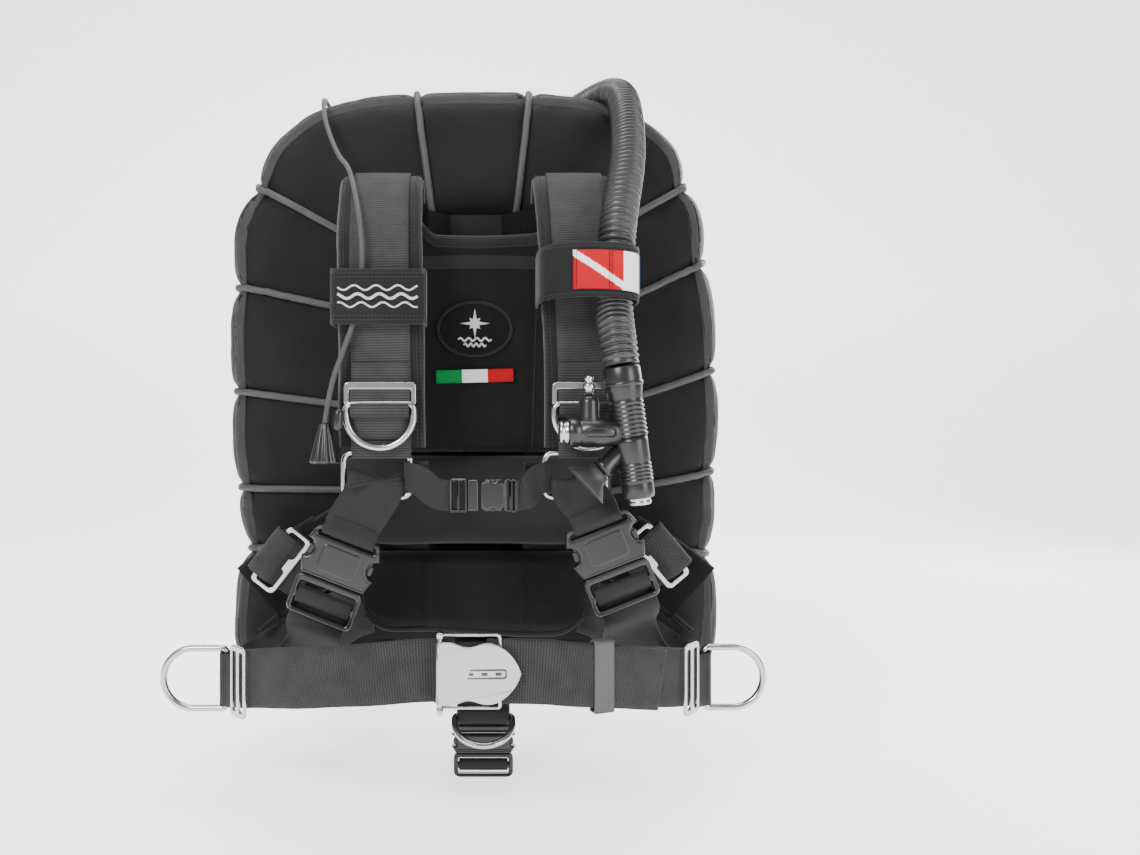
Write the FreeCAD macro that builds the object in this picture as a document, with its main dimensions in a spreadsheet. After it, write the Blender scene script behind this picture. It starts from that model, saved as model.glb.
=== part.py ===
import FreeCAD
import Part
import Sketcher

import math
import os

# Diver's buoyancy wing on a steel backplate with its padded harness.
# Millimetres. X to the wearer's left, Y to the tanks, Z up; the origin is the
# centre of the two tank bolts on the rear face of the backplate.

V = FreeCAD.Vector
doc = FreeCAD.newDocument("dive_wing")
sheet = doc.addObject("Spreadsheet::Sheet", "dims")

DIMENSIONS = [
    ("plate_tall", 400, "backplate, top to bottom"),
    ("plate_half_wide", 127, "backplate, centre to edge"),
    ("plate_thick", 3, "backplate sheet"),
    ("bolt_spacing", 279.4, "tank bolts, centre to centre"),
    ("bolt_hole_radius", 5, "tank bolt hole"),
    ("webbing_wide", 50, "harness webbing"),
    ("webbing_thick", 2.4, "harness webbing"),
    ("pad_wide", 73, "shoulder pad"),
    ("pad_thick", 8, "shoulder pad"),
    ("wing_front", 3, "front face of the wing"),
    ("wing_deep", 147, "wing, front to back"),
    ("channel_half_wide", 70, "tank channel, centre to side"),
    ("cloth_thick", 2.2, "wing shell cloth"),
    ("bungee_radius", 3.4, "retaining bungee"),
    ("hose_radius", 15, "corrugated hose, over its ribs"),
    ("ring_wire", 3, "wire radius of the D-rings"),
    ("ring_half_wide", 28, "D-ring, centre to the middle of a leg"),
    ("buckle_wide", 58, "shoulder buckle"),
    ("buckle_thick", 12, "shoulder buckle"),
    ("socket_long", 42, "shoulder buckle, socket"),
    ("plug_long", 34, "shoulder buckle, plug frame"),
    ("chest_buckle_wide", 28, "chest buckle"),
    ("chest_webbing_wide", 25, "chest strap"),
    ("tube_radius", 12.7, "inflator tube"),
    ("button_radius", 9.4, "inflator buttons"),
    ("cord_radius", 2.2, "dump cord"),
]
for row, (alias, value, meaning) in enumerate(DIMENSIONS, 1):
    sheet.set(f"A{row}", meaning)
    sheet.set(f"B{row}", str(value))
    sheet.setAlias(f"B{row}", alias)
doc.recompute()


def dim(alias):
    return float(sheet.get(alias))


nodes = []


def keep(obj, label):
    obj.Label = label
    nodes.append(obj)
    return obj


def feature(label, shape):
    obj = doc.addObject("Part::Feature", label)
    obj.Shape = shape
    obj.Placement = shape.Placement
    return keep(obj, label)


def smooth(points, steps):
    """The points with `steps` spans between neighbours, on a rounded curve."""
    path = [V(*p) for p in points]
    ends = [path[0] * 2 - path[1]] + path + [path[-1] * 2 - path[-2]]
    out = []
    for p0, p1, p2, p3 in zip(ends, ends[1:], ends[2:], ends[3:]):
        for k in range(steps):
            t = k / steps
            bend = (p0 * 2 - p1 * 5 + p2 * 4 - p3) * t * t + (p1 * 3 - p0 - p2 * 3 + p3) * t * t * t
            out.append(p1 + ((p2 - p0) * t + bend) * 0.5)
    return out + [path[-1]]


def ribbon(points, wide, thick, across=(1, 0, 0), steps=4):
    """Flat webbing along a path; `across` is the way its width points."""
    path = smooth(points, steps)
    wires = []
    for i, p in enumerate(path):
        ahead = path[min(i + 1, len(path) - 1)]
        behind = path[max(i - 1, 0)]
        run = (ahead - behind).normalize()
        side = V(*across) - run * run.dot(V(*across))
        side = side.normalize()
        out = run.cross(side)
        a = side * (wide / 2)
        b = out * (thick / 2)
        corners = [p + a + b, p - a + b, p - a - b, p + a - b]
        wires.append(Part.makePolygon(corners + corners[:1]))
    return Part.makeLoft(wires, True, True)


def cord_wire(points, share=0.45):
    """Straight runs joined by tangent arcs."""
    path = [V(*p) for p in points]
    edges = []
    start = path[0]
    for before, corner, after in zip(path, path[1:], path[2:]):
        back = (before - corner).normalize()
        on = (after - corner).normalize()
        half_turn = (math.pi - back.getAngle(on)) / 2
        cut = share * min((before - corner).Length, (after - corner).Length)
        radius = cut / math.tan(half_turn)
        middle = (back + on).normalize()
        centre = corner + middle * (radius / math.cos(half_turn))
        arc_in = corner + back * cut
        arc_out = corner + on * cut
        edges.append(Part.LineSegment(start, arc_in).toShape())
        edges.append(Part.Arc(arc_in, centre - middle * radius, arc_out).toShape())
        print(f"  bend radius {radius:.1f}")
        start = arc_out
    edges.append(Part.LineSegment(start, path[-1]).toShape())
    return Part.Wire(edges)


def tube(points, radius, share=0.45):
    wire = cord_wire(points, share)
    first = V(*points[0])
    run = (V(*points[1]) - first).normalize()
    profile = Part.Wire([Part.makeCircle(radius, first, run)])
    solid = wire.makePipeShell([profile], True, False)
    ideal = wire.Length * math.pi * radius * radius
    print(f"  tube length {wire.Length:.1f}, volume ratio {solid.Volume / ideal:.4f}")
    return solid


def rod(a, b, radius):
    a = V(*a)
    b = V(*b)
    return Part.makeCylinder(radius, (b - a).Length, a, b - a)


def block(x, y, z):
    """A box from three (low, high) pairs."""
    return Part.makeBox(x[1] - x[0], y[1] - y[0], z[1] - z[0], V(x[0], y[0], z[0]))


def frame_shape(wide, tall, thick, window_wide, windows):
    """A flat slider in the XZ plane, centred, with (z, height) windows."""
    body = block((-wide / 2, wide / 2), (-thick / 2, thick / 2), (-tall / 2, tall / 2))
    corners = [e for e in body.Edges if abs(e.Vertexes[0].Point.y - e.Vertexes[-1].Point.y) > thick * 0.9]
    body = body.makeFillet(min(3.0, tall / 5), corners)
    half = window_wide / 2
    for z, height in windows:
        body = body.cut(block((-half, half), (-thick, thick), (z - height / 2, z + height / 2)))
    return body


def d_ring(half_wide, straight, wire):
    """Bar along X at the origin, legs and bow down -Z."""
    bar = rod((-half_wide, 0, 0), (half_wide, 0, 0), wire)
    legs = [rod((s * half_wide, 0, 0), (s * half_wide, 0, -straight), wire) for s in (-1, 1)]
    bow = Part.Arc(V(-half_wide, 0, -straight), V(0, 0, -straight - half_wide), V(half_wide, 0, -straight))
    profile = Part.Wire([Part.makeCircle(wire, V(-half_wide, 0, -straight), V(0, 0, 1))])
    bow = Part.Wire([bow.toShape()]).makePipeShell([profile], True, False)
    knees = [Part.makeSphere(wire, V(s * half_wide, 0, 0)) for s in (-1, 1)]
    shape = bar
    for piece in legs + knees + [bow]:
        shape = shape.fuse(piece)
    return shape.removeSplitter()


def turned(shape, axis, degrees, position):
    shape = shape.copy()
    shape.rotate(V(0, 0, 0), V(*axis), degrees)
    shape.translate(V(*position))
    return shape


# ---------------------------------------------------------------- backplate
plate = doc.addObject("PartDesign::Body", "backplate")
plane = {o.Role: o for o in plate.Origin.OriginFeatures}
section = plate.newObject("Sketcher::SketchObject", "plate_section")
section.AttachmentSupport = (plane["XY_Plane"], [""])
section.MapMode = "FlatFace"
T = dim("plate_thick")
HALF = dim("plate_half_wide")
rear = [(-HALF, -13), (-44, -19), (-26, 0), (26, 0), (44, -19), (HALF, -13)]
front = [(x, y - T) for x, y in rear]
front[2] = (-24.5, -T)
front[3] = (24.5, -T)
outline = [V(x, y, 0) for x, y in rear + front[::-1]]
for i, corner in enumerate(outline):
    section.addGeometry(Part.LineSegment(corner, outline[(i + 1) % len(outline)]), False)
for i in range(len(outline)):
    section.addConstraint(Sketcher.Constraint("Coincident", i, 2, (i + 1) % len(outline), 1))
pad_up = plate.newObject("PartDesign::Pad", "plate_pad")
pad_up.Profile = section
pad_up.Midplane = True
pad_up.setExpression("Length", "dims.plate_tall")
doc.recompute()
holes = plate.newObject("Sketcher::SketchObject", "plate_holes")
holes.AttachmentSupport = (plane["XZ_Plane"], [""])
holes.MapMode = "FlatFace"
for z in (dim("bolt_spacing") / 2, -dim("bolt_spacing") / 2):
    holes.addGeometry(Part.Circle(V(0, z, 0), V(0, 0, 1), dim("bolt_hole_radius")), False)
hole_size = [holes.addConstraint(Sketcher.Constraint("Radius", i, 5)) for i in (0, 1)]
hole_rise = [
    holes.addConstraint(Sketcher.Constraint("DistanceY", -1, 1, 0, 3, 139.7)),
    holes.addConstraint(Sketcher.Constraint("DistanceY", 1, 3, -1, 1, 139.7)),
]
for i in (0, 1):
    holes.addConstraint(Sketcher.Constraint("PointOnObject", i, 3, -2))
    holes.setExpression(f"Constraints[{hole_size[i]}]", "dims.bolt_hole_radius")
    holes.setExpression(f"Constraints[{hole_rise[i]}]", "dims.bolt_spacing / 2")
drill = plate.newObject("PartDesign::Pocket", "plate_drill")
drill.Profile = holes
drill.Type = 1
drill.Midplane = True
plate.Tip = drill
doc.recompute()
slots = plate.newObject("Sketcher::SketchObject", "plate_slots")
slots.AttachmentSupport = (plane["XZ_Plane"], [""])
slots.MapMode = "FlatFace"
SLOTS = [
    (-112, -60, 178, 184), (60, 112, 178, 184), (-27, 27, -192, -186),
    (-120, -114, -190, -136), (114, 120, -190, -136),
]
edge = 0
for x0, x1, z0, z1 in SLOTS:
    ring = [V(x0, z0, 0), V(x1, z0, 0), V(x1, z1, 0), V(x0, z1, 0)]
    for i in range(4):
        slots.addGeometry(Part.LineSegment(ring[i], ring[(i + 1) % 4]), False)
    for i in range(4):
        slots.addConstraint(Sketcher.Constraint("Coincident", edge + i, 2, edge + (i + 1) % 4, 1))
    edge += 4
cut = plate.newObject("PartDesign::Pocket", "plate_cut")
cut.Profile = slots
cut.Type = 1
cut.Midplane = True
plate.Tip = cut
doc.recompute()
keep(plate, "backplate")

# --------------------------------------------------------------------- wing
LEFT = [
    (-59, 333), (-110, 328), (-158, 316), (-184, 299), (-206, 278), (-218, 256), (-222, 238), (-235, 217),
    (-243, 193), (-245, 165), (-243, 137), (-248, 90), (-244, 32), (-247, -16), (-240, -65), (-236, -95),
    (-230, -121), (-241, -150), (-244, -190), (-240, -222), (-222, -252), (-186, -272), (-130, -281),
    (-62, -284),
]
RIGHT = [
    (55, 333), (100, 328), (140, 318), (172, 303), (198, 280), (206, 256), (209, 240), (222, 218),
    (229, 193), (229, 165), (234, 143), (243, 95), (243, 56), (246, 10), (242, -44), (241, -90),
    (236, -122), (241, -150), (242, -182), (238, -220), (220, -252), (184, -272), (130, -281), (62, -284),
]
OUTLINE = [(0, 334)] + RIGHT + [(0, -285)] + LEFT[::-1]
FRONT = dim("wing_front")
DEEP = dim("wing_deep")


def wing_solid(inset):
    """The inflated wing, every surface moved inward by `inset`."""
    count = len(OUTLINE)
    levels = [(0, 42), (0.07, 24), (0.19, 10), (0.5, 0), (0.81, 10), (0.93, 24), (1, 42)]
    wires = []
    for share, tuck in levels:
        y = FRONT + inset + share * (DEEP - 2 * inset)
        ring = []
        for i, (x, z) in enumerate(OUTLINE):
            x0, z0 = OUTLINE[i - 1]
            x1, z1 = OUTLINE[(i + 1) % count]
            size = math.hypot(x1 - x0, z1 - z0)
            nx = -(z1 - z0) / size
            nz = (x1 - x0) / size
            move = tuck + inset
            ring.append(V(x - nx * move, y, z - nz * move))
        curve = Part.BSplineCurve()
        curve.interpolate(ring, PeriodicFlag=True)
        wires.append(Part.Wire([curve.toShape()]))
    return Part.makeLoft(wires, True, False)


def channel(grow, y_low):
    """The space between the lobes where the two tanks lie."""
    half = dim("channel_half_wide") + grow
    space = block((-half, half), (y_low, 200), (-330, 190 + grow))
    top = [e for e in space.Edges if abs(e.CenterOfMass.z - 190 - grow) < 0.1 and abs(e.CenterOfMass.x) > 1]
    return space.makeFillet(40, top)


WEB_BACK = 7
cloth = dim("cloth_thick")
outer = wing_solid(0).cut(channel(0, WEB_BACK))
for s in (-1, 1):
    z = s * dim("bolt_spacing") / 2
    outer = outer.cut(rod((0, -5, z), (0, 30, z), 9))
inner = wing_solid(cloth).cut(channel(cloth, -50))
feature("wing_shell", outer.cut(inner))
filling = wing_solid(cloth + 0.5).cut(channel(cloth + 0.5, -50))
feature("bladder_main", filling.common(block((-300, 300), (-5, 75.9), (-400, 400))))
feature("bladder_backup", filling.common(block((-300, 300), (77.1, 200), (-400, 400))))
eyes = []
for s in (-1, 1):
    z = s * dim("bolt_spacing") / 2
    barrel = rod((0, 0.6, z), (0, 9.4, z), 8.6)
    for y in (0.6, 7.4):
        barrel = barrel.fuse(rod((0, y, z), (0, y + 2, z), 15))
    barrel = barrel.cut(rod((0, 2.7, z), (0, 7.3, z), 15.2).cut(rod((0, 2, z), (0, 8, z), 8.6)))
    eyes.append(barrel.cut(rod((0, 0, z), (0, 10, z), 6.5)))
feature("wing_grommets", Part.makeCompound(eyes))

ROWS = [
    (-222, 237, -132, 187), (-243, 137, -132, 113), (-245, 34, -140, 21), (-241, -61, -145, -62),
    (-231, -122, -160, -112), (209, 238, 128, 187), (231, 162, 128, 113), (243, 56, 136, 21),
    (242, -44, 141, -62), (236, -129, 156, -112),
]
loops = []
for x, z, x_in, z_in in ROWS:
    s = 1 if x > 0 else -1
    r = dim("bungee_radius") + 0.5
    route = [
        (x_in, FRONT - r, z_in), (x - s * 40, FRONT - r, z - (z - z_in) * 0.15), (x - s * 12, 24, z),
        (x + s * r, 52, z), (x + s * (r + 0.6), 100, z), (x - s * 12, 130, z),
        (x - s * 40, FRONT + DEEP + r, z - 2), (x - s * 60, FRONT + DEEP + r + 0.4, z - 3),
    ]
    loops.append(tube(route, dim("bungee_radius"), 0.4))
for x_top, x_low in ((-59, -40), (53, 37)):
    r = dim("bungee_radius") + 0.5
    route = [
        (x_low, FRONT - r, 205), (x_top, FRONT - r, 296), (x_top, 22, 325), (x_top, 56, 333 + r),
        (x_top + 0.5, 98, 333 + r), (x_top, 132, 323), (x_top, FRONT + DEEP + r, 295),
    ]
    loops.append(tube(route, dim("bungee_radius"), 0.4))
feature("bungees", Part.makeCompound(loops))

# --------------------------------------------------------------------- pads
def slab(points, y0, y1, corner):
    """A flat cushion: XZ outline extruded in Y with rounded long edges."""
    wire = Part.makePolygon([V(x, y0, z) for x, z in points + points[:1]])
    solid = Part.Face(wire).extrude(V(0, y1 - y0, 0))
    upright = [e for e in solid.Edges if abs(e.Vertexes[0].Point.y - e.Vertexes[-1].Point.y) > 1]
    return solid.makeFillet(corner, upright)


back_outline = [
    (-118, -25.5), (-118, 196), (-58, 196), (-42, 173), (60, 173), (74, 196), (118, 196), (118, -25.5),
]
feature("back_pad", slab(back_outline, -24.5, -42, 6))
feature("lumbar_pad", slab([(-125, -114.5), (-125, -26.5), (125, -26.5), (125, -114.5)], -24.5, -46, 8))
feature("lower_pad", slab([(-107, -193), (-107, -115.5), (104, -115.5), (104, -193)], -24.5, -43, 14))
patch = Part.Ellipse(V(0, 0, 0), 35, 26).toShape()
patch = Part.Face(Part.Wire([patch])).extrude(V(0, 0, 1.2))
patch.rotate(V(0, 0, 0), V(1, 0, 0), 90)
patch.translate(V(-1, -42.4, 87))
feature("crest_patch", patch)
strip = doc.addObject("Part::Box", "colour_strip")
strip.Length = 70
strip.Width = 1
strip.Height = 13
strip.Placement = FreeCAD.Placement(V(-36, -43.5, 37), FreeCAD.Rotation(V(0, 1, 0), -1.5))
keep(strip, "colour_strip")

# ---------------------------------------------------------- shoulder straps
STRAP = [
    (-26, 205), (-31, 215), (-43, 221), (-58, 215), (-73, 200), (-86, 175), (-95, 145), (-99, 110),
    (-100, 70), (-100, 30), (-100, -2), (-100, -28),
]


def strap_path(side, offset, low_z):
    """Centre line of the strap, `offset` in front of the pad's middle."""
    x_top, x_low = (-83, -79) if side < 0 else (87, 94)
    points = []
    route = STRAP[:-1] + [(-100, low_z)]
    for i, (y, z) in enumerate(route):
        y0, z0 = route[max(i - 1, 0)]
        y1, z1 = route[min(i + 1, len(route) - 1)]
        size = math.hypot(y1 - y0, z1 - z0)
        share = min(1, max(0, (205 - z) / 170))
        x = x_top + (x_low - x_top) * share
        points.append((x, y + offset * (z1 - z0) / size, z - offset * (y1 - y0) / size))
    return points


WEB = dim("webbing_thick")
PAD = dim("pad_thick")
web_out = PAD / 2 + 0.4 + WEB / 2
web_face = -100 - PAD / 2 - 0.4 - WEB
ring_y = web_face - 5.6
for side, name in ((-1, "left"), (1, "right")):
    feature(f"shoulder_pad_{name}", ribbon(strap_path(side, 0, -19), dim("pad_wide"), PAD))
    web = ribbon(strap_path(side, web_out, -28), dim("webbing_wide"), WEB)
    x = -79.5 if side < 0 else 93
    loop = [
        (x, web_face - 1, 36), (x, web_face - 1, 21), (x, web_face - 1.6, 18.8), (x, web_face - 7, 18.2),
        (x, web_face - 9.4, 16.4), (x, web_face - 10, 13), (x, web_face - 9.4, 9.6), (x, web_face - 7, 7.8),
        (x, web_face - 1.6, 7.2), (x, web_face - 1, 5), (x, web_face - 1, -4),
    ]
    web = web.fuse(ribbon(loop, 46, 1.6, steps=1))
    web = web.fuse(block((x - 23, x + 23), (web_face - 0.6, web_face + 0.6), (24, 36)))
    feature(f"shoulder_web_{name}", web)
plates = []
for x in (-79.5, 93):
    body = frame_shape(62, 18, 3, 52, [(0, 5)])
    body.translate(V(x, web_face - 4, 29))
    plates.append(body)
feature("chest_sliders", Part.makeCompound(plates))
for x, name in ((-79.5, "left"), (93, "right")):
    ring = d_ring(dim("ring_half_wide"), 4, dim("ring_wire"))
    ring.translate(V(x, ring_y, 13))
    feature(f"chest_dring_{name}", ring)

band = block((-120.6, -41.4), (-116, -90), (83, 129))
feature("strap_band_left", band.cut(block((-119, -43), (-114.4, -91.6), (80, 130))))
hose_y = web_face - 0.6 - dim("hose_radius")


def rounded_front(box, radius):
    """The box with its two upright front edges rounded."""
    tall = [e for e in box.Edges if abs(e.Vertexes[0].Point.z - e.Vertexes[-1].Point.z) > 40]
    return box.makeFillet(radius, [e for e in tall if e.CenterOfMass.y < -100])


wrap = rounded_front(block((50.8, 133), (-141, -88), (100, 144)), 14)
feature("hose_band_right", wrap.cut(rounded_front(block((52.4, 131.4), (-139.4, -89.6), (90, 150)), 12.6)))

# ------------------------------------------- link rings and shoulder buckles
LINKS = {"left": (-83, -42, 30.5), "right": (83, -42, 28)}
rings = []
for name, (x, z, half) in LINKS.items():
    ring = frame_shape(half * 2, 42, 4.6, half * 2 - 10, [(0, 32)])
    ring.translate(V(x, -101, z))
    rings.append(ring)
feature("link_rings", Part.makeCompound(rings))

TILT = 21.5
BUCKLES = {"left": (-105, -92, 1), "right": (100, -80, -1)}
buckle_y = -104


def socket_shape(wide, long, thick, arm_hole, depth, window):
    """Buckle socket hanging down -Z from the origin, mouth at the bottom."""
    body = block((-wide / 2, wide / 2), (-thick / 2, thick / 2), (-long, 0))
    corners = [e for e in body.Edges if abs(e.Vertexes[0].Point.y - e.Vertexes[-1].Point.y) > thick * 0.9]
    body = body.makeFillet(wide * 0.05, corners)
    throat = (-thick * 0.28, thick * 0.28)
    body = body.cut(block((-arm_hole / 2, arm_hole / 2), throat, (-long, -long + depth)))
    notch = -long + depth * 0.62
    for s in (-1, 1):
        body = body.cut(rod((s * wide * 0.52, -thick, notch), (s * wide * 0.52, thick, notch), depth * 0.26))
    return body.cut(block((-window / 2, window / 2), (-thick, thick), (-wide * 0.11, -wide * 0.05)))


def plug_shape(wide, long, thick, arm_hole, reach, window):
    """Buckle plug; its frame hangs below the origin and its arms reach up."""
    body = block((-wide / 2, wide / 2), (-thick * 0.42, thick * 0.42), (-long, -0.3))
    corners = [e for e in body.Edges if abs(e.Vertexes[0].Point.y - e.Vertexes[-1].Point.y) > thick * 0.5]
    body = body.makeFillet(wide * 0.09, corners)
    for z in (-long * 0.40, -long * 0.74):
        body = body.cut(block((-window / 2, window / 2), (-thick, thick), (z - long * 0.09, z + long * 0.09)))
    arm = wide * 0.1
    for s in (-1, 1):
        x0 = s * (arm_hole / 2 - 0.4)
        x1 = s * (arm_hole / 2 - 0.4 - arm)
        body = body.fuse(block((min(x0, x1), max(x0, x1)), (-thick * 0.25, thick * 0.25), (-1, reach)))
    return body.fuse(block((-arm * 0.5, arm * 0.5), (-thick * 0.25, thick * 0.25), (-1, reach * 0.8)))


W = dim("buckle_wide")
LONG = dim("socket_long")
TH = dim("buckle_thick")
for name, (x, z, s) in BUCKLES.items():
    socket = socket_shape(W, LONG, TH, 48, 34, 51)
    feature(f"shoulder_socket_{name}", turned(socket, (0, 1, 0), s * TILT, (x, buckle_y, z)))
    plug = plug_shape(W, dim("plug_long"), TH, 48, 30, 51)
    plug.translate(V(0, 0, -LONG))
    feature(f"shoulder_plug_{name}", turned(plug, (0, 1, 0), s * TILT, (x, buckle_y, z)))


def down(name, along, y=0.0):
    """A point `along` mm down a shoulder buckle's own axis."""
    x, z, s = BUCKLES[name]
    turn = math.radians(TILT)
    return (x - s * math.sin(turn) * along, buckle_y + y, z - math.cos(turn) * along)


def across_buckle(name):
    """The way a shoulder buckle's width points."""
    turn = math.radians(TILT) * BUCKLES[name][2]
    return (math.cos(turn), 0, -math.sin(turn))


tabs = []
for name, x, z, wide in (("left", -84, -42, 43), ("right", 84, -42, 39)):
    route = [(x, -105.8, z - 9), (x, -105.6, z - 20), down(name, -12, -1.5), down(name, -2.4)]
    tabs.append(ribbon(route, wide, WEB, across_buckle(name)))
feature("upper_tabs", Part.makeCompound(tabs))

# ------------------------------------------------------- lower straps, hips
STRAPS = {
    "left": [down("left", 78.2), down("left", 86, 4), (-141, -80, -192), (-158, -62, -212), (-176, -46, -222)],
    "right": [down("right", 78.2), down("right", 86, 4), (133, -80, -178), (146, -62, -204), (160, -46, -218)],
}
for name, route in STRAPS.items():
    feature(f"lower_strap_{name}", ribbon(route, 49, WEB, across_buckle(name)))
sliders = []
for x, z, tilt in ((-176, -122, 38), (165, -118, -40)):
    body = frame_shape(26, 60, 3, 18, [(0, 6)])
    body = body.cut(block((-9, 9), (-5, 5), (8, 26))).cut(block((-9, 9), (-5, 5), (-26, -8)))
    sliders.append(turned(body, (0, 1, 0), tilt, (x, -46, z)))
feature("hip_sliders", Part.makeCompound(sliders))
panels = []
for s in (-1, 1):
    route = [(s * 134, -22.4, -112), (s * 150, -24.4, -122), (s * 176, -27, -138), (s * 198, -33, -156)]
    panels.append(ribbon(route, 66, 6, (0, 0, 1)))
feature("hip_panels", Part.makeCompound(panels))

# --------------------------------------------------------------- waist belt
BELTS = {
    "left": [
        (-100, -22.4, -168), (-118, -22.2, -174), (-140, -22.4, -188), (-166, -22.6, -203), (-188, -23.4, -215),
        (-204, -31, -223), (-214, -46, -227), (-210, -68, -223), (-184, -97, -214), (-140, -123, -206),
        (-90, -140, -199), (-50, -146, -194), (-16, -147, -193),
    ],
    "right": [
        (100, -22.4, -168), (116, -22.2, -174), (136, -22.4, -188), (158, -22.6, -204), (176, -23.6, -216),
        (189, -31, -223), (196, -47, -226), (190, -70, -220), (166, -98, -213), (128, -123, -205),
        (84, -140, -198), (50, -146, -194), (8, -147, -193),
    ],
}
HIPS = {"left": (-216, -48, -228, -1, 30), "right": (197, -48, -227, 1, 26)}
for name, route in BELTS.items():
    belt = ribbon(route, dim("webbing_wide"), 2.6, (0, 0, 1))
    x, y, z, s, leg = HIPS[name]
    arch = [
        (x - s * 5.0, y + 17, z), (x + s * 0.4, y + 12, z), (x + s * 6, y + 7.6, z), (x + s * 12.4, y + 4.4, z),
        (x + s * 13.6, y, z), (x + s * 12.4, y - 4.4, z), (x + s * 6, y - 7.6, z), (x + s * 0.4, y - 12, z),
        (x - s * 3.0, y - 17, z),
    ]
    feature(f"waist_belt_{name}", belt.fuse(ribbon(arch, 46, 1.6, (0, 0, 1), steps=1)))
    ring = d_ring(27, leg, dim("ring_wire"))
    ring.rotate(V(0, 0, 0), V(0, 1, 0), -s * 90)
    ring.translate(V(x + s * 8.4, y, z))
    feature(f"waist_dring_{name}", ring)
sliders = []
for x, y, z, turn in ((-203.6, -86.6, -220, -46), (184.4, -87.0, -217, 48)):
    body = frame_shape(24, 61, 2.8, 18, [])
    for low in (-9, 2):
        body = body.cut(block((low, low + 7), (-5, 5), (-26, 26)))
    sliders.append(turned(body, (0, 0, 1), turn, (x, y, z)))
feature("waist_sliders", Part.makeCompound(sliders))

frame = frame_shape(52, 64, 3, 40, [(0, 52)])
for low in (-32, 27.5):
    frame = frame.fuse(block((-25.5, -20.5), (-7, 1), (low, low + 4.5)))
frame = frame.fuse(rod((-23, -5.2, -30), (-23, -5.2, 30), 1.5))
frame.translate(V(-5, -151.2, -193))
feature("belt_buckle_frame", frame)
lever_outline = [
    (0, -24), (8, -24), (20, -20), (34, -20), (46, -23.5), (56, -20), (62, -11), (64, 0),
    (62, 11), (56, 20), (46, 23.5), (34, 20), (20, 20), (8, 24), (0, 24),
]
lever = Part.makePolygon([V(x, -0.6, z) for x, z in lever_outline + lever_outline[:1]])
lever = Part.Face(lever).extrude(V(0, -2.6, 0))
lever = lever.fuse(rod((0, 0, -24), (0, 0, 24), 3.2))
lever = lever.cut(rod((0, 0, -30), (0, 0, 30), 1.7))
lever.translate(V(-28, -156.4, -193))
feature("belt_buckle_lever", lever)
keeper = block((-9, 9), (-4.2, 4.2), (-29, 29)).cut(block((-10, 10), (-2.6, 2.6), (-27, 27)))
feature("belt_keeper", turned(keeper, (0, 0, 1), 21, (101, -134.2, -200.6)))

# -------------------------------------------------------------- chest strap
CW = dim("chest_webbing_wide")
LEFT_STRAP = [
    (-47, -96.6, -43), (-53, -95.6, -43), (-58.0, -98, -43), (-59.2, -103.5, -43), (-56, -107.6, -43.5),
    (-46, -110, -46), (-34, -114, -56), (-26.4, -114.6, -58),
]
RIGHT_STRAP = [
    (48, -96.6, -43), (55, -95.6, -43), (60.6, -98, -43), (61.8, -103.5, -43), (58, -107.6, -43.5),
    (50, -110, -46), (43, -114, -56), (36, -114.6, -58),
]
feature("chest_strap_left", ribbon(LEFT_STRAP, CW, 1.8, (0, 0, 1)))
feature("chest_strap_right", ribbon(RIGHT_STRAP, CW, 1.8, (0, 0, 1)))
CB = dim("chest_buckle_wide")
chest_socket = socket_shape(CB, 31, 9, 22, 25, 23)
chest_plug = plug_shape(CB, 26, 9, 22, 22, 23)
chest_plug.translate(V(0, 0, -31))
feature("chest_buckle_socket", turned(chest_socket, (0, 1, 0), 90, (34, -114.6, -58)))
feature("chest_buckle_plug", turned(chest_plug, (0, 1, 0), 90, (34, -114.6, -58)))

# ------------------------------------------------------------- crotch strap
crotch = ribbon([(7, -6.5, -204), (7, -7.5, -225), (7, -9, -248), (7, -10, -272), (7, -10.6, -283)], 50, WEB)
arch = [
    (7, -11.2, -260), (7, -12.4, -263.4), (7, -17, -265.4), (7, -20.4, -268), (7, -21.4, -272),
    (7, -20.4, -276), (7, -17, -278.6), (7, -12.4, -280.4), (7, -12, -283),
]
feature("crotch_strap", crotch.fuse(ribbon(arch, 46, 1.6, steps=1)))
ring = d_ring(27, 8, dim("ring_wire"))
ring.rotate(V(0, 0, 0), V(1, 0, 0), -62)
ring.translate(V(7, -16.2, -272))
feature("crotch_dring", ring)
crotch_socket = socket_shape(56, 24, 11, 46, 17, 50)
crotch_plug = plug_shape(56, 23, 11, 46, 15, 49)
crotch_socket.translate(V(7, -11, -283.6))
crotch_plug.translate(V(7, -11, -307.6))
feature("crotch_buckle_socket", crotch_socket)
feature("crotch_buckle_plug", crotch_plug)

# ------------------------------------------------------- elbows, hoses, dump
BACK = FRONT + DEEP
HR = dim("hose_radius")


def elbow(x, z, up):
    disc = rod((x, BACK + 0.4, z), (x, BACK + 6, z), 29)
    bend = Part.makeSphere(HR + 2, V(x, BACK + 24, z))
    neck = rod((x, BACK + 0.4, z), (x, BACK + 24, z), HR + 2)
    spigot = rod((x, BACK + 24, z), (x, BACK + 24, z + up * 30), HR + 2)
    return disc.fuse(neck).fuse(bend).fuse(spigot).removeSplitter()


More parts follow.
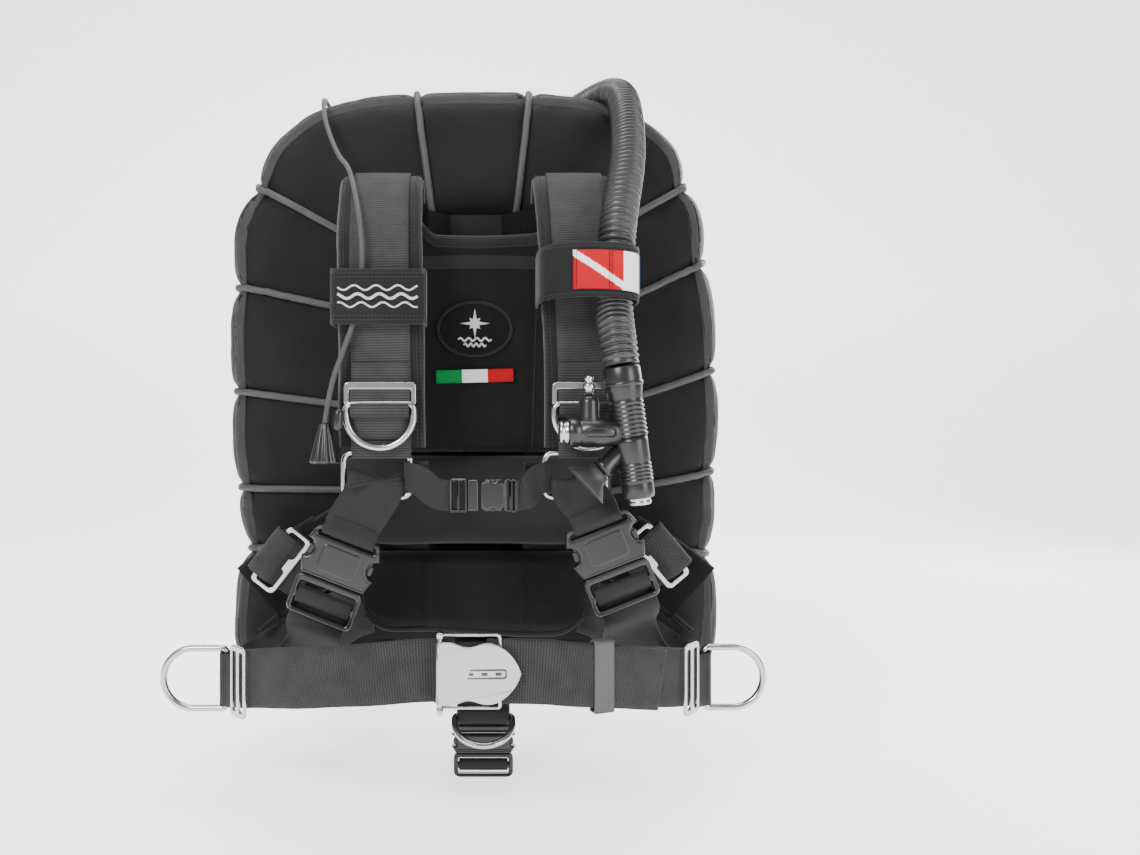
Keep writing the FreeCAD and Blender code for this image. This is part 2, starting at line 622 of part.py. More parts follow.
feature("elbows", Part.makeCompound([elbow(58, 236, 1), elbow(-46, 262, -1)]))
MAIN_HOSE = [
    (58, 174, 266.4), (58, 174, 300), (94, 138, 338), (128, 76, 342), (141, 16, 324), (139.4, -30, 284),
    (132, -77.4, 229), (120, -108, 182), (114, hose_y, 144), (112.4, hose_y, 104.4),
]
feature("inflator_hose", tube(MAIN_HOSE, HR))
LOWER_HOSE = [(112.4, hose_y, 103.4), (112.4, hose_y, 91.4), (113, -138.4, 65), (115.28, -140, 47.6)]
feature("inflator_hose_lower", tube(LOWER_HOSE, HR, 0.49))
BACKUP_HOSE = [
    (-46, 174, 231.6), (-46, 174, 190), (-42, 167, 90), (-40, 167, -40), (-40, 166, -150), (-39.1, 150.8, -211),
]
feature("backup_hose", tube(BACKUP_HOSE, HR))
tail_a = (-38.6, 142, -226)
tail_b = (-38, 24, -268)
backup = rod(tail_a, tail_b, 12.5).fuse(Part.makeSphere(15.4, V(-38.6, 143, -226)))
feature("backup_inflator", backup.cut(Part.makeSphere(7, V(-38, 24, -268))))
valve = rod((-128, BACK + 0.4, 244), (-128, BACK + 9, 244), 27)
valve = valve.fuse(rod((-128, BACK + 9, 244), (-128, BACK + 16, 244), 19))
feature("dump_valve", valve)
CORD = [
    (-134, BACK + 12.6, 269), (-140, BACK + 8, 292), (-148, 124, 322), (-152, 76, 331), (-150, 20, 322),
    (-142, -10, 284), (-126, -34, 246), (-112, -64, 228), (-102, -92, 196), (-95, -109, 160), (-94, -110.8, 128),
    (-99, -110.8, 92), (-110, -113, 60), (-120, -114, 34), (-124.6, -114, 1.4),
]
feature("pull_cord", tube(CORD, dim("cord_radius"), 0.4))
bell = Part.makePolygon([
    V(0, 0, 1), V(4, 0, 1), V(6, 0, -4), V(9, 0, -14), V(12, 0, -29), V(11, 0, -32), V(0, 0, -32), V(0, 0, 1),
])
bell = Part.Face(bell).revolve(V(0, 0, 0), V(0, 0, 1), 360)
bell.translate(V(-124.8, -114, 0))
feature("pull_knob", bell)

# ----------------------------------------------------------------- inflator
TR = dim("tube_radius")
top = V(115.5, -140, 45.8)
low = V(130, -140, -58)
axis = (low - top).normalize()


def on_tube(d):
    p = top + axis * d
    return (p.x, p.y, p.z)


length = (low - top).Length
body = rod(on_tube(0), on_tube(length), TR)
body = body.fuse(rod((74, -140, -6), (122, -140, -6), 11.7))
body = body.fuse(rod((90, -140, -6), (90, -140, 23), 7.8))
body = body.fuse(rod((125, -140, -13), (100, -140, -36), 7.4))
body = body.cut(rod((66, -140, -6), (79, -140, -6), dim("button_radius") + 0.3))
body = body.cut(rod(on_tube(length - 7.5), on_tube(length + 2), dim("button_radius") + 0.3))
feature("inflator_body", body)
button = rod((66, -140, -6), (75, -140, -6), dim("button_radius"))
feature("inflate_button", button)
button = rod(on_tube(length - 3), on_tube(length + 5.5), dim("button_radius"))
feature("deflate_button", button)
aim = V(-0.736, 0, -0.677)
start = V(99.4, -140, -36.55)
skirt = Part.makeCone(8.5, 20, 17, start, aim)
skirt = skirt.cut(Part.makeCone(5.0, 17.6, 15.2, start + aim * 2, aim))
feature("mouthpiece", skirt.cut(rod((99.4, -140, -36.55), (96, -140, -39.7), 4)))
feature("lp_nipple", rod((90, -140, 23.1), (90, -140, 39), 3.7).fuse(rod((90, -140, 30), (90, -140, 33), 5)))

# ------------------------------------------------------------------- output
doc.recompute()
os.makedirs("parts", exist_ok=True)
for obj in nodes:
    bad = [s for s in obj.State if s in ("Invalid", "Error")]
    if bad or obj.Shape.isNull() or not obj.Shape.isValid():
        raise RuntimeError(f"{obj.Label}: {obj.State} null {obj.Shape.isNull()}")
    obj.Shape.exportStep(f"parts/{obj.Label}.step")
    box = obj.Shape.optimalBoundingBox(False, False)
    print(
        f"{obj.Label:24s} solids {len(obj.Shape.Solids)} x {box.XMin:.0f}..{box.XMax:.0f}"
        f" y {box.YMin:.0f}..{box.YMax:.0f} z {box.ZMin:.0f}..{box.ZMax:.0f}"
    )
print(len(nodes), "nodes")
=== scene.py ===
import bpy
import bmesh
import math
from mathutils import Matrix, Vector, noise
from mathutils.bvhtree import BVHTree


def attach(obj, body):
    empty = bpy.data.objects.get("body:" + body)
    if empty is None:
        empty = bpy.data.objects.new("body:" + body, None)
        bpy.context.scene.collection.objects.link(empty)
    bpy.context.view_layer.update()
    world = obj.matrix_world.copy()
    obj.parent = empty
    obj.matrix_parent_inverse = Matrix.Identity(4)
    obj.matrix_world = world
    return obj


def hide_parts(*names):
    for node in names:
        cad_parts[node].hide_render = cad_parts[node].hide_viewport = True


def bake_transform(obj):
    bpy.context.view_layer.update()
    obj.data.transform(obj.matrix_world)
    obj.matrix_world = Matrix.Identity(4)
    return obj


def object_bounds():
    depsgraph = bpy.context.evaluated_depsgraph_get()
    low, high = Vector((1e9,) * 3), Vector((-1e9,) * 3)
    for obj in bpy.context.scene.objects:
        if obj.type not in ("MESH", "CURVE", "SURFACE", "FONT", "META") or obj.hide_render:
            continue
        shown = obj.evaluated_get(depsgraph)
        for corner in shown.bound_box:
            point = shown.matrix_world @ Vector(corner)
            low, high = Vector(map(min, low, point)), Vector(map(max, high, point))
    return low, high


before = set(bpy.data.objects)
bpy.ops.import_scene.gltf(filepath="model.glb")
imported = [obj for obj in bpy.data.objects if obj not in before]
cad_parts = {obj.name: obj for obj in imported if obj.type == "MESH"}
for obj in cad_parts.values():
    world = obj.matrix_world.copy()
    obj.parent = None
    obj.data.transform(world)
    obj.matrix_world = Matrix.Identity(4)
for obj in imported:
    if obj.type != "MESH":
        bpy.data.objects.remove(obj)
cad_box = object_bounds()
MM = 0.001



def mesh_of(name, work, outward=True):
    """The finished mesh of a BMesh, its faces turned outward."""
    if outward:
        bmesh.ops.recalc_face_normals(work, faces=work.faces[:])
    mesh = bpy.data.meshes.new(name)
    work.to_mesh(mesh)
    work.free()
    return mesh


# ---------------------------------------------------------------- the room
# A seamless pale paper sweep lit by large soft boxes. The harness side of
# the wing faces the lens, which stands level with the tank bolts.
paper = bpy.data.materials.new("pale_paper")
paper.use_nodes = True
paper.node_tree.nodes["Principled BSDF"].inputs["Base Color"].default_value = (0.93, 0.93, 0.93, 1)
paper.node_tree.nodes["Principled BSDF"].inputs["Roughness"].default_value = 0.9
paper.node_tree.nodes["Principled BSDF"].inputs["Emission Color"].default_value = (1, 1, 1, 1)
paper.node_tree.nodes["Principled BSDF"].inputs["Emission Strength"].default_value = 1.3
FLOOR_Z = cad_box[0][2] - 0.004
sweep = bmesh.new()
profile = [(-3.0, 0.0)]
for step in range(13):
    turn = math.radians(90 * step / 12)
    profile.append((1.6 + 0.8 * math.sin(turn), 0.8 - 0.8 * math.cos(turn)))
profile.append((2.4, 3.4))
rows = [[sweep.verts.new((x, y, FLOOR_Z + z)) for y, z in profile] for x in (-4.0, 4.0)]
for i in range(len(profile) - 1):
    sweep.faces.new((rows[0][i], rows[1][i], rows[1][i + 1], rows[0][i + 1]))
sweep_mesh = mesh_of("paper_sweep", sweep, False)
sweep_mesh.polygons.foreach_set("use_smooth", [True] * len(sweep_mesh.polygons))
sweep_mesh.materials.append(paper)
floor = bpy.data.objects.new("paper_sweep", sweep_mesh)
bpy.context.scene.collection.objects.link(floor)

world = bpy.data.worlds.new("studio")
world.use_nodes = True
world.node_tree.nodes["Background"].inputs["Color"].default_value = (1, 1, 1, 1)
backdrop = world.node_tree.nodes.new("ShaderNodeLightPath")
glow = world.node_tree.nodes.new("ShaderNodeMapRange")
glow.inputs["To Min"].default_value = 0.5
glow.inputs["To Max"].default_value = 2.4
world.node_tree.links.new(backdrop.outputs["Is Camera Ray"], glow.inputs["Value"])
world.node_tree.links.new(glow.outputs["Result"], world.node_tree.nodes["Background"].inputs["Strength"])
bpy.context.scene.world = world


def soft_box(name, place, aim, size, watts):
    light = bpy.data.lights.new(name, "AREA")
    light.shape = "RECTANGLE"
    light.size = size[0]
    light.size_y = size[1]
    light.energy = watts
    lamp = bpy.data.objects.new(name, light)
    lamp.location = place
    lamp.rotation_euler = (Vector(aim) - Vector(place)).to_track_quat("-Z", "Y").to_euler()
    bpy.context.scene.collection.objects.link(lamp)


soft_box("key_box", (-1.3, -1.9, 1.5), (0, 0, 0), (1.0, 1.0), 80)
soft_box("fill_box", (1.7, -1.7, 0.6), (0, 0, 0), (1.0, 1.6), 40)
soft_box("top_box", (0.0, 0.1, 2.1), (0, 0, 0), (1.4, 1.0), 52)
soft_box("rim_box", (1.4, 1.3, 0.9), (0, 0, 0.1), (0.8, 1.4), 30)

LENS_Y = -0.837
camera = bpy.data.cameras.new("lens")
camera.sensor_width = 36.0
camera.lens = 27.66
camera.shift_x = 0.0825
camera.shift_y = -0.0022
camera.clip_start = 0.02
lens = bpy.data.objects.new("lens", camera)
lens.location = (0, LENS_Y, 0)
lens.rotation_euler = (math.radians(90), 0, 0)
bpy.context.scene.collection.objects.link(lens)
bpy.context.scene.camera = lens

# ---------------------------------------------------------------- the wing
# The outer shell is black coated nylon sewn round two bladders: a front and
# a back panel joined by a gusset, in a horseshoe round the tank channel.
# Each elastic loop pulls a valley across the lobes.
RIM = [
    (0, 333.5), (55, 332.5), (100, 328), (140, 318), (172, 303), (198, 281), (208, 262), (213, 240),
    (224, 218), (229, 193), (232, 165), (236, 143), (242, 100), (244, 56), (245, 10), (243, -44),
    (241, -90), (237, -126), (241, -152), (242, -182), (238, -220), (222, -250), (186, -272), (130, -281),
    (62, -284),
]
RIM_LEFT = [
    (-59, 332.5), (-110, 328), (-158, 316), (-184, 300), (-206, 279), (-217, 257), (-224, 238), (-235, 217),
    (-243, 193), (-245, 165), (-245, 137), (-247, 90), (-246, 34), (-246, -16), (-241, -63), (-237, -95),
    (-233, -122), (-241, -150), (-244, -190), (-240, -222), (-222, -250), (-186, -272), (-130, -281),
    (-62, -284),
]
CHANNEL = 70.0
ARCH_Z = 120.0
# inner end and outer end of every loop on the front face: x, z, x, z
LOOPS = [
    (-132, 187, -222, 237), (-132, 113, -244, 137), (-140, 21, -245, 34), (-145, -62, -241, -61),
    (-160, -112, -232, -122), (128, 187, 212, 238), (128, 113, 234, 162), (136, 21, 244, 56),
    (141, -62, 243, -44), (156, -112, 237, -128),
]
TOP_LOOPS = [(-40, 187, -59, 332), (37, 187, 53, 332)]


def smooth_path(points, steps):
    """Points along a Catmull-Rom curve through `points`."""
    out = []
    last = len(points) - 1
    for i in range(last):
        p0 = Vector(points[max(i - 1, 0)])
        p1 = Vector(points[i])
        p2 = Vector(points[i + 1])
        p3 = Vector(points[min(i + 2, last)])
        for k in range(steps):
            t = k / steps
            a = 2 * p1 + (p2 - p0) * t
            b = (2 * p0 - 5 * p1 + 4 * p2 - p3) * t * t
            c = (3 * p1 - p0 - 3 * p2 + p3) * t * t * t
            out.append((a + b + c) / 2)
    out.append(Vector(points[last]))
    return out


rim_right = smooth_path(RIM, 14)
rim_left = smooth_path([RIM[0]] + RIM_LEFT, 14)


def rim_hit(rim, start, run):
    """Where a ray from `start` along `run` meets a rim polyline."""
    for a, b in zip(rim, rim[1:]):
        edge = b - a
        cross = run.x * edge.y - run.y * edge.x
        if abs(cross) < 1e-9:
            continue
        gap = a - start
        far = (gap.x * edge.y - gap.y * edge.x) / cross
        share = (gap.x * run.y - gap.y * run.x) / cross
        if far > 0 and -1e-6 <= share <= 1 + 1e-6:
            return start + run * far
    return None


def valley(x, z, y):
    """How deep the loops press here, in mm; it fades towards the inner ends."""
    depth = 0.0
    for xi, zi, xo, zo in LOOPS:
        if x * xo <= 0:
            continue
        along = (abs(x) - abs(xi)) / (abs(xo) - abs(xi))
        if along < -0.25:
            continue
        line = zi + (zo - zi) * min(max(along, 0), 1)
        if y > 76:
            line = zo - 2
        fade = min(max((along + 0.25) / 0.9, 0), 1)
        depth += fade * (5.5 * math.exp(-((z - line) / 7.5) ** 2) + 3.5 * math.exp(-((z - line) / 20) ** 2))
    for xi, zi, xo, zo in TOP_LOOPS:
        along = min(max((z - zi) / (zo - zi), 0), 1)
        line = xi + (xo - xi) * along
        if z > 230:
            depth += 5.0 * math.exp(-((x - line) / 7.0) ** 2) * min((z - 230) / 70, 1)
    return depth


AROUND = 132
stations = []
for i in range(150):
    z = -283.6 + (ARCH_Z + 283.6) * i / 150
    hit = rim_hit(rim_left[::-1], Vector((-30, z)), Vector((-1, 0)))
    stations.append((Vector((-CHANNEL, z)), hit, z))
for i in range(151):
    turn = math.radians(180 - 180 * i / 150)
    run = Vector((math.cos(turn), math.sin(turn)))
    rim = rim_left if run.x < 0 else rim_right
    hit = rim_hit(rim, Vector((0, ARCH_Z)), run) or Vector((0, 333.5))
    stations.append((Vector((CHANNEL * run.x, ARCH_Z + CHANNEL * run.y)), hit, ARCH_Z))
for i in range(1, 151):
    z = ARCH_Z - (ARCH_Z + 283.6) * i / 150
    hit = rim_hit(rim_right, Vector((30, z)), Vector((1, 0)))
    stations.append((Vector((CHANNEL, z)), hit, z))


def section_shape(share):
    """Unit section of a lobe: radial place 0..1 and depth place 0..1."""
    turn = 2 * math.pi * share
    c, s = math.cos(turn), math.sin(turn)
    power = 0.42
    radial = 0.5 + 0.5 * math.copysign(abs(c) ** power, c)
    deep = 0.5 - 0.5 * math.copysign(abs(s) ** (power + 0.12), s)
    return radial, deep


wing = bmesh.new()
grid = []
for inside, outside, z in stations:
    ring = []
    span = (outside - inside).length
    run = (outside - inside).normalized()
    shut = 1.0
    if z < -205:
        shut = math.sqrt(max(0.0, 1 - ((-205 - z) / 79.0) ** 2))
    for k in range(AROUND):
        radial, deep = section_shape(k / AROUND)
        deep_y = 76.5 + (deep - 0.5) * 146.2 * (0.10 + 0.90 * shut)
        spot = inside + run * span * radial
        outward = Vector((run.x * (radial - 0.5) * 2, (deep - 0.5) * 2, run.y * (radial - 0.5) * 2))
        outward.normalize()
        dent = valley(spot.x, spot.y, deep_y)
        edge = abs(radial - 0.5) * 2 if radial > 0.5 else 0
        dent *= 0.25 + 0.75 * edge ** 3 if deep_y < 110 else edge ** 2
        crease = noise.fractal(Vector((spot.x * 0.012, deep_y * 0.02, spot.y * 0.012)), 0.9, 2.0, 4) * 1.6
        fold = 0.0
        if z < -170:
            gather = min((-170 - z) / 90, 1)
            fold = math.sin(
                spot.x * 0.16 + deep_y * 0.05 + 2 * noise.noise(spot.to_3d() * 0.02)
            ) * 3.0 * gather
        seam_in = span * (1 - radial)
        panel = 0.0
        if deep_y < 60:
            panel = 3.2 * min(
                max((seam_in - 12.5) / 3.0, 0), 1
            ) + 1.6 * math.exp(-((seam_in - 15.5) / 1.6) ** 2)
        for seam_y in (27, 122):
            if seam_in < 30:
                panel += 1.3 * math.exp(-((deep_y - seam_y) / 1.8) ** 2)
        lift = crease + fold - dent - 1.0 - panel
        x = spot.x + outward.x * lift
        zz = spot.y + outward.z * lift
        y = min(max(deep_y + outward.y * lift, 3.4), 149.6)
        ring.append(wing.verts.new((x * MM, y * MM, zz * MM)))
    grid.append(ring)
for a, b in zip(grid, grid[1:]):
    for k in range(AROUND):
        n = (k + 1) % AROUND
        wing.faces.new((a[k], b[k], b[n], a[n]))
for ring in (grid[0], grid[-1]):
    wing.faces.new(ring)
wing_mesh = mesh_of("wing_lobes", wing)


def tinted_cloth(name, colour, rough, thread, bump, mottle=0.25, sheen=0.0):
    """Plain-woven cloth: threads as bump, and a little uneven colour."""
    material = bpy.data.materials.new(name)
    material.use_nodes = True
    tree = material.node_tree
    nodes = tree.nodes
    shader = nodes["Principled BSDF"]
    place = nodes.new("ShaderNodeTexCoord")
    cloud = nodes.new("ShaderNodeTexNoise")
    cloud.inputs["Scale"].default_value = 14.0
    cloud.inputs["Detail"].default_value = 6.0
    tree.links.new(place.outputs["Object"], cloud.inputs["Vector"])
    ramp = nodes.new("ShaderNodeValToRGB")
    dark = [c * (1 - mottle) for c in colour]
    light = [c * (1 + mottle) for c in colour]
    ramp.color_ramp.elements[0].position = 0.3
    ramp.color_ramp.elements[0].color = (*dark, 1)
    ramp.color_ramp.elements[1].position = 0.7
    ramp.color_ramp.elements[1].color = (*light, 1)
    tree.links.new(cloud.outputs["Fac"], ramp.inputs["Fac"])
    tree.links.new(ramp.outputs["Color"], shader.inputs["Base Color"])
    shader.inputs["Roughness"].default_value = rough
    shader.inputs["Sheen Weight"].default_value = sheen
    shader.inputs["Sheen Roughness"].default_value = 0.4
    shader.inputs["Specular IOR Level"].default_value = 0.12
    height = None
    for axis in ("X", "Z"):
        wave = nodes.new("ShaderNodeTexWave")
        wave.bands_direction = axis
        wave.inputs["Scale"].default_value = thread
        wave.inputs["Distortion"].default_value = 0.4
        wave.inputs["Detail"].default_value = 1.0
        tree.links.new(place.outputs["Object"], wave.inputs["Vector"])
        if height is None:
            height = wave
        else:
            mix = nodes.new("ShaderNodeMath")
            mix.operation = "MAXIMUM"
            tree.links.new(height.outputs["Fac"], mix.inputs[0])
            tree.links.new(wave.outputs["Fac"], mix.inputs[1])
            height = mix
    relief = nodes.new("ShaderNodeBump")
    relief.inputs["Strength"].default_value = bump
    relief.inputs["Distance"].default_value = 0.0004
    tree.links.new(height.outputs[0], relief.inputs["Height"])
    tree.links.new(relief.outputs["Normal"], shader.inputs["Normal"])
    return material


def mesh_from(source):
    """The evaluated mesh of a helper object, which is then removed."""
    depsgraph = bpy.context.evaluated_depsgraph_get()
    mesh = bpy.data.meshes.new_from_object(source.evaluated_get(depsgraph))
    bpy.data.objects.remove(source)
    return mesh


def settle(obj, body, finish, *cad_nodes):
    """Rides the piece on a body and hides the CAD nodes it stands for; `finish` is not used."""
    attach(obj, body)
    if cad_nodes:
        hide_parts(*cad_nodes)
    return obj


def piece(name, mesh, material):
    """A new object for a mesh that already has its place in it."""
    mesh.polygons.foreach_set("use_smooth", [True] * len(mesh.polygons))
    mesh.materials.clear()
    mesh.materials.append(material)
    obj = bpy.data.objects.new(name, mesh)
    bpy.context.scene.collection.objects.link(obj)
    return obj


wing_cloth = tinted_cloth("wing_nylon", (0.0052, 0.0052, 0.0054), 0.5, 420, 0.35, 0.3)
wing_obj = piece("wing_lobes", wing_mesh, wing_cloth)
settle(wing_obj, "harness", "wing_cloth", "wing_shell", "bladder_main", "bladder_backup")

# The central web joins the lobes behind the backplate. It is a doubled cloth
# panel, up to the top of the arch between the lobes.
web = bmesh.new()
for y, flip in ((3.6, 1), (6.8, -1)):
    rows = []
    for i in range(41):
        z = -262 + i * (197 + 262) / 40
        half = 74 if z < 120 else 74 - 22 * (z - 120) / 77
        rows.append(
            [
                web.verts.new((x * half * MM, (y + 0.5 * math.sin(z * 0.05 + x * 3)) * MM, z * MM))
                for x in (-1, -0.5, 0, 0.5, 1)
            ]
        )
    for a, b in zip(rows, rows[1:]):
        for k in range(4):
            web.faces.new((a[k], a[k + 1], b[k + 1], b[k])[::flip])
settle(piece("wing_web", mesh_of("wing_web", web, False), wing_cloth), "harness", "wing_cloth")

# ------------------------------------------------------- seams of the wing
# Grosgrain tape is folded over the raw edges where the panels meet the
# gusset, and runs all round both faces just inside the rim.
skin = BVHTree.FromPolygons([v.co for v in wing_mesh.vertices], [p.vertices[:] for p in wing_mesh.polygons])


def on_skin(start, run, lift):
    """The point `lift` metres off the wing where a ray meets it."""
    hit, normal, _, _ = skin.ray_cast(Vector(start), Vector(run).normalized())
    if hit is None:
        return None
    if normal.dot(Vector(run)) > 0:
        normal = -normal
    return hit + normal * lift


def add(name, mesh, material, body, finish, *cad_nodes, crisp=False):
    """A whole piece: a mesh or a list of them, its look, body and nodes."""
    if isinstance(mesh, list):
        mesh = joined(name, mesh)
    obj = piece(name, mesh, material)
    if crisp:
        hard_edges(obj)
    return settle(obj, body, finish, *cad_nodes)


def tube_along(name, path, radius, sides=12, closed=False, squeeze=1.0):
    """A round tube; `radius` is a number or a function of the distance."""
    mesh_bm = bmesh.new()
    uv = mesh_bm.loops.layers.uv.new("run")
    count = len(path)
    rings = []
    far = 0.0
    side = None
    for i, p in enumerate(path):
        if closed:
            run = path[(i + 1) % count] - path[i - 1]
        else:
            run = path[min(i + 1, count - 1)] - path[max(i - 1, 0)]
        run.normalize()
        if side is None:
            side = run.orthogonal().normalized()
        side = (side - run * side.dot(run)).normalized()
        other = run.cross(side)
        if i:
            far += (p - path[i - 1]).length
        r = radius(far) if callable(radius) else radius
        ring = []
        for k in range(sides):
            turn = 2 * math.pi * k / sides
            ring.append(
                mesh_bm.verts.new(p + side * math.cos(turn) * r + other * math.sin(turn) * r * squeeze)
            )
        rings.append((ring, far))
    pairs = list(zip(rings, rings[1:]))
    if closed:
        pairs.append((rings[-1], (rings[0][0], far + (path[0] - path[-1]).length)))
    for (a, fa), (b, fb) in pairs:
        for k in range(sides):
            n = (k + 1) % sides
            face = mesh_bm.faces.new((a[k], a[n], b[n], b[k]))
            for loop, u, v in zip(face.loops, (k, k + 1, k + 1, k), (fa, fa, fb, fb)):
                loop[uv].uv = (u / sides, v / MM)
    if not closed:
        for ring, _ in (rings[0], rings[-1]):
            mesh_bm.faces.new(ring)
    return mesh_of(name, mesh_bm)


def strap_mesh(name, points, wide, thick, across=(1, 0, 0), steps=10, crown=0.0, closed=False, outline=None):
    """Webbing along points in mm, its edges rounded; UV is mm across, along."""
    path = smooth_path(points, steps)
    if closed:
        path = smooth_path(points + points[:1], steps)[:-1]
    if outline is None:
        flat = [-1 + k / 4 for k in range(9)]
        inner = wide / 2 - thick * 0.25
        outline = [(a * inner, thick / 2 + crown * (1 - a * a)) for a in flat] + [(wide / 2, 0)]
        outline += [(-a * inner, -thick / 2 - crown * (1 - a * a) * 0.3) for a in flat] + [(-wide / 2, 0)]
    mesh_bm = bmesh.new()
    uv = mesh_bm.loops.layers.uv.new("cloth")
    rings = []
    far = 0.0
    count = len(path)
    for i, p in enumerate(path):
        run = path[
            (i + 1) % count if closed else min(i + 1, count - 1)
        ] - path[i - 1 if closed else max(i - 1, 0)]
        run.normalize()
        side = (Vector(across) - run * run.dot(Vector(across))).normalized()
        out = run.cross(side)
        if i:
            far += (p - path[i - 1]).length
        rings.append(([mesh_bm.verts.new((p + side * a + out * b) * MM) for a, b in outline], far))
    n = len(outline)
    pairs = list(zip(rings, rings[1:]))
    if closed:
        pairs.append((rings[-1], (rings[0][0], far + (path[0] - path[-1]).length)))
    for (ra, fa), (rb, fb) in pairs:
        for k in range(n):
            m = (k + 1) % n
            face = mesh_bm.faces.new((ra[k], ra[m], rb[m], rb[k]))
            for loop, u, v in zip(
                face.loops, (outline[k][0], outline[m][0], outline[m][0], outline[k][0]), (fa, fa, fb, fb)
            ):
                loop[uv].uv = (u, v)
    if not closed:
        mesh_bm.faces.new(rings[0][0])
        mesh_bm.faces.new(rings[-1][0])
    return mesh_of(name, mesh_bm)


def woven(name, low, high, rib, pick, depth, rough=0.75, sheen=0.04):
    """Webbing: ribs across the strap, broken into picks, with painted shade that darkens the valleys between
    them; reads the cloth UV.
    """
    material = bpy.data.materials.new(name)
    material.use_nodes = True
    tree = material.node_tree
    nodes = tree.nodes
    link = tree.links.new
    shader = nodes["Principled BSDF"]
    shader.inputs["Roughness"].default_value = rough
    shader.inputs["Sheen Weight"].default_value = sheen
    shader.inputs["Specular IOR Level"].default_value = 0.2
    cloth = nodes.new("ShaderNodeUVMap")
    cloth.uv_map = "cloth"
    split = nodes.new("ShaderNodeSeparateXYZ")
    link(cloth.outputs["UV"], split.inputs["Vector"])

    def calc(operation, a, b=None):
        step = nodes.new("ShaderNodeMath")
        step.operation = operation
        for socket, value in zip(step.inputs, (a, b)):
            if isinstance(value, (int, float)):
                socket.default_value = value
            elif value is not None:
                link(value, socket)
        return step.outputs[0]

    along = calc("MULTIPLY", split.outputs["Y"], 1 / rib)
    phase = calc("MULTIPLY", calc("FLOOR", along), 0.5)
    ridge = calc("SINE", calc("MULTIPLY", calc("FRACT", along), math.pi))
    column = calc("ADD", calc("MULTIPLY", split.outputs["X"], 1 / pick), phase)
    bead = calc("SINE", calc("MULTIPLY", calc("FRACT", column), math.pi))
    height = calc("MULTIPLY", calc("POWER", ridge, 0.6), calc("ADD", calc("MULTIPLY", bead, 0.6), 0.4))
    fleck = nodes.new("ShaderNodeTexNoise")
    fleck.inputs["Scale"].default_value = 60.0
    place = nodes.new("ShaderNodeTexCoord")
    link(place.outputs["Object"], fleck.inputs["Vector"])
    # Painted shade: the base colour runs from low in the valleys between ribs and picks, where shade falls,
    # up to high on their tops; the fleck only adds random tone.
    valley_shaded_tone = calc("MULTIPLY", height, calc("ADD", fleck.outputs["Fac"], 0.45))
    ramp = nodes.new("ShaderNodeValToRGB")
    ramp.color_ramp.elements[0].color = (*low, 1)
    ramp.color_ramp.elements[1].color = (*high, 1)
    ramp.color_ramp.elements[1].position = 0.9
    link(valley_shaded_tone, ramp.inputs["Fac"])
    link(ramp.outputs["Color"], shader.inputs["Base Color"])
    relief = nodes.new("ShaderNodeBump")
    relief.inputs["Strength"].default_value = 0.8
    relief.inputs["Distance"].default_value = depth * MM
    link(height, relief.inputs["Height"])
    link(relief.outputs["Normal"], shader.inputs["Normal"])
    return material


tape_weave = woven("seam_grosgrain", (0.012, 0.012, 0.0122), (0.045, 0.045, 0.046), 1.1, 0.9, 0.12)
TAPE_WIDE = 11.0
for tag, y_from, tuck in (("front", -60, 16.5), ("back", 210, 15.0)):
    edge_points = []
    for inside, outside, z in stations[4:-4:2]:
        run = (outside - inside).normalized()
        spot = outside - run * tuck
        hit = on_skin((spot.x * MM, y_from * MM, spot.y * MM), (0, 1 if y_from < 0 else -1, 0), 0.5 * MM)
        if hit is not None:
            edge_points.append((hit, run))
    tape = bmesh.new()
    uv = tape.loops.layers.uv.new("cloth")
    rows = []
    far = 0.0
    for i, (hit, run) in enumerate(edge_points):
        if i:
            far += (hit - edge_points[i - 1][0]).length / MM
        out = Vector((run.x, 0, run.y))
        row = []
        for k in range(5):
            across = (k / 4 - 0.5) * TAPE_WIDE
            start = hit + out * across * MM
            start.y = y_from * MM
            lie = on_skin(start, (0, 1 if y_from < 0 else -1, 0), (0.9 - 0.7 * abs(k / 2 - 1)) * MM)
            row.append((tape.verts.new(lie if lie is not None else hit), across, far))
        rows.append(row)
    for a, b in zip(rows, rows[1:]):
        for k in range(4):
            corners = (a[k], a[k + 1], b[k + 1], b[k])
            face = tape.faces.new([c[0] for c in corners])
            for loop, c in zip(face.loops, corners):
                loop[uv].uv = (c[1], c[2])
    bmesh.ops.recalc_face_normals(tape, faces=tape.faces[:])
    if tape.faces[0].normal.y * (1 if tag == "back" else -1) < 0:
        bmesh.ops.reverse_faces(tape, faces=tape.faces[:])
    tape_obj = piece(f"seam_tape_{tag}", mesh_of(f"seam_tape_{tag}", tape, False), tape_weave)
    thick = tape_obj.modifiers.new("thick", "SOLIDIFY")
    thick.thickness = 0.8 * MM
    thick.offset = -1
    settle(tape_obj, "harness", "wing_cloth")

# ------------------------------------------------------------ elastic loops
# Braided elastic cord, one loop for each valley, comes from under the back
# padding, goes out over the rim and ends on the rear panel. A pair crosses
# the top.
braid = woven("grey_braid", (0.026, 0.026, 0.0265), (0.066, 0.066, 0.067), 1.1, 0.9, 0.06, rough=0.5)
CORD_R = 3.4
LOOP_LIFT = CORD_R * 0.8 * MM
FRONT_Y, MIDDLE_Y, REAR_Y = -60, 76, 210
UNDER_PAD_X = 108
TOP_CENTRE_Z = 262


def braid_uv(mesh, radius):
    """Turns the tube's unit UV into mm round the cord."""
    layer = mesh.uv_layers["run"]
    layer.name = "cloth"
    for item in layer.data:
        item.uv[0] *= 2 * math.pi * radius


def elastic_cord(path):
    """A cord along the points of a path that lie on the wing."""
    cord = tube_along("elastic", smooth_path([p for p in path if p is not None], 2), CORD_R * MM, 10)
    braid_uv(cord, CORD_R)
    return cord


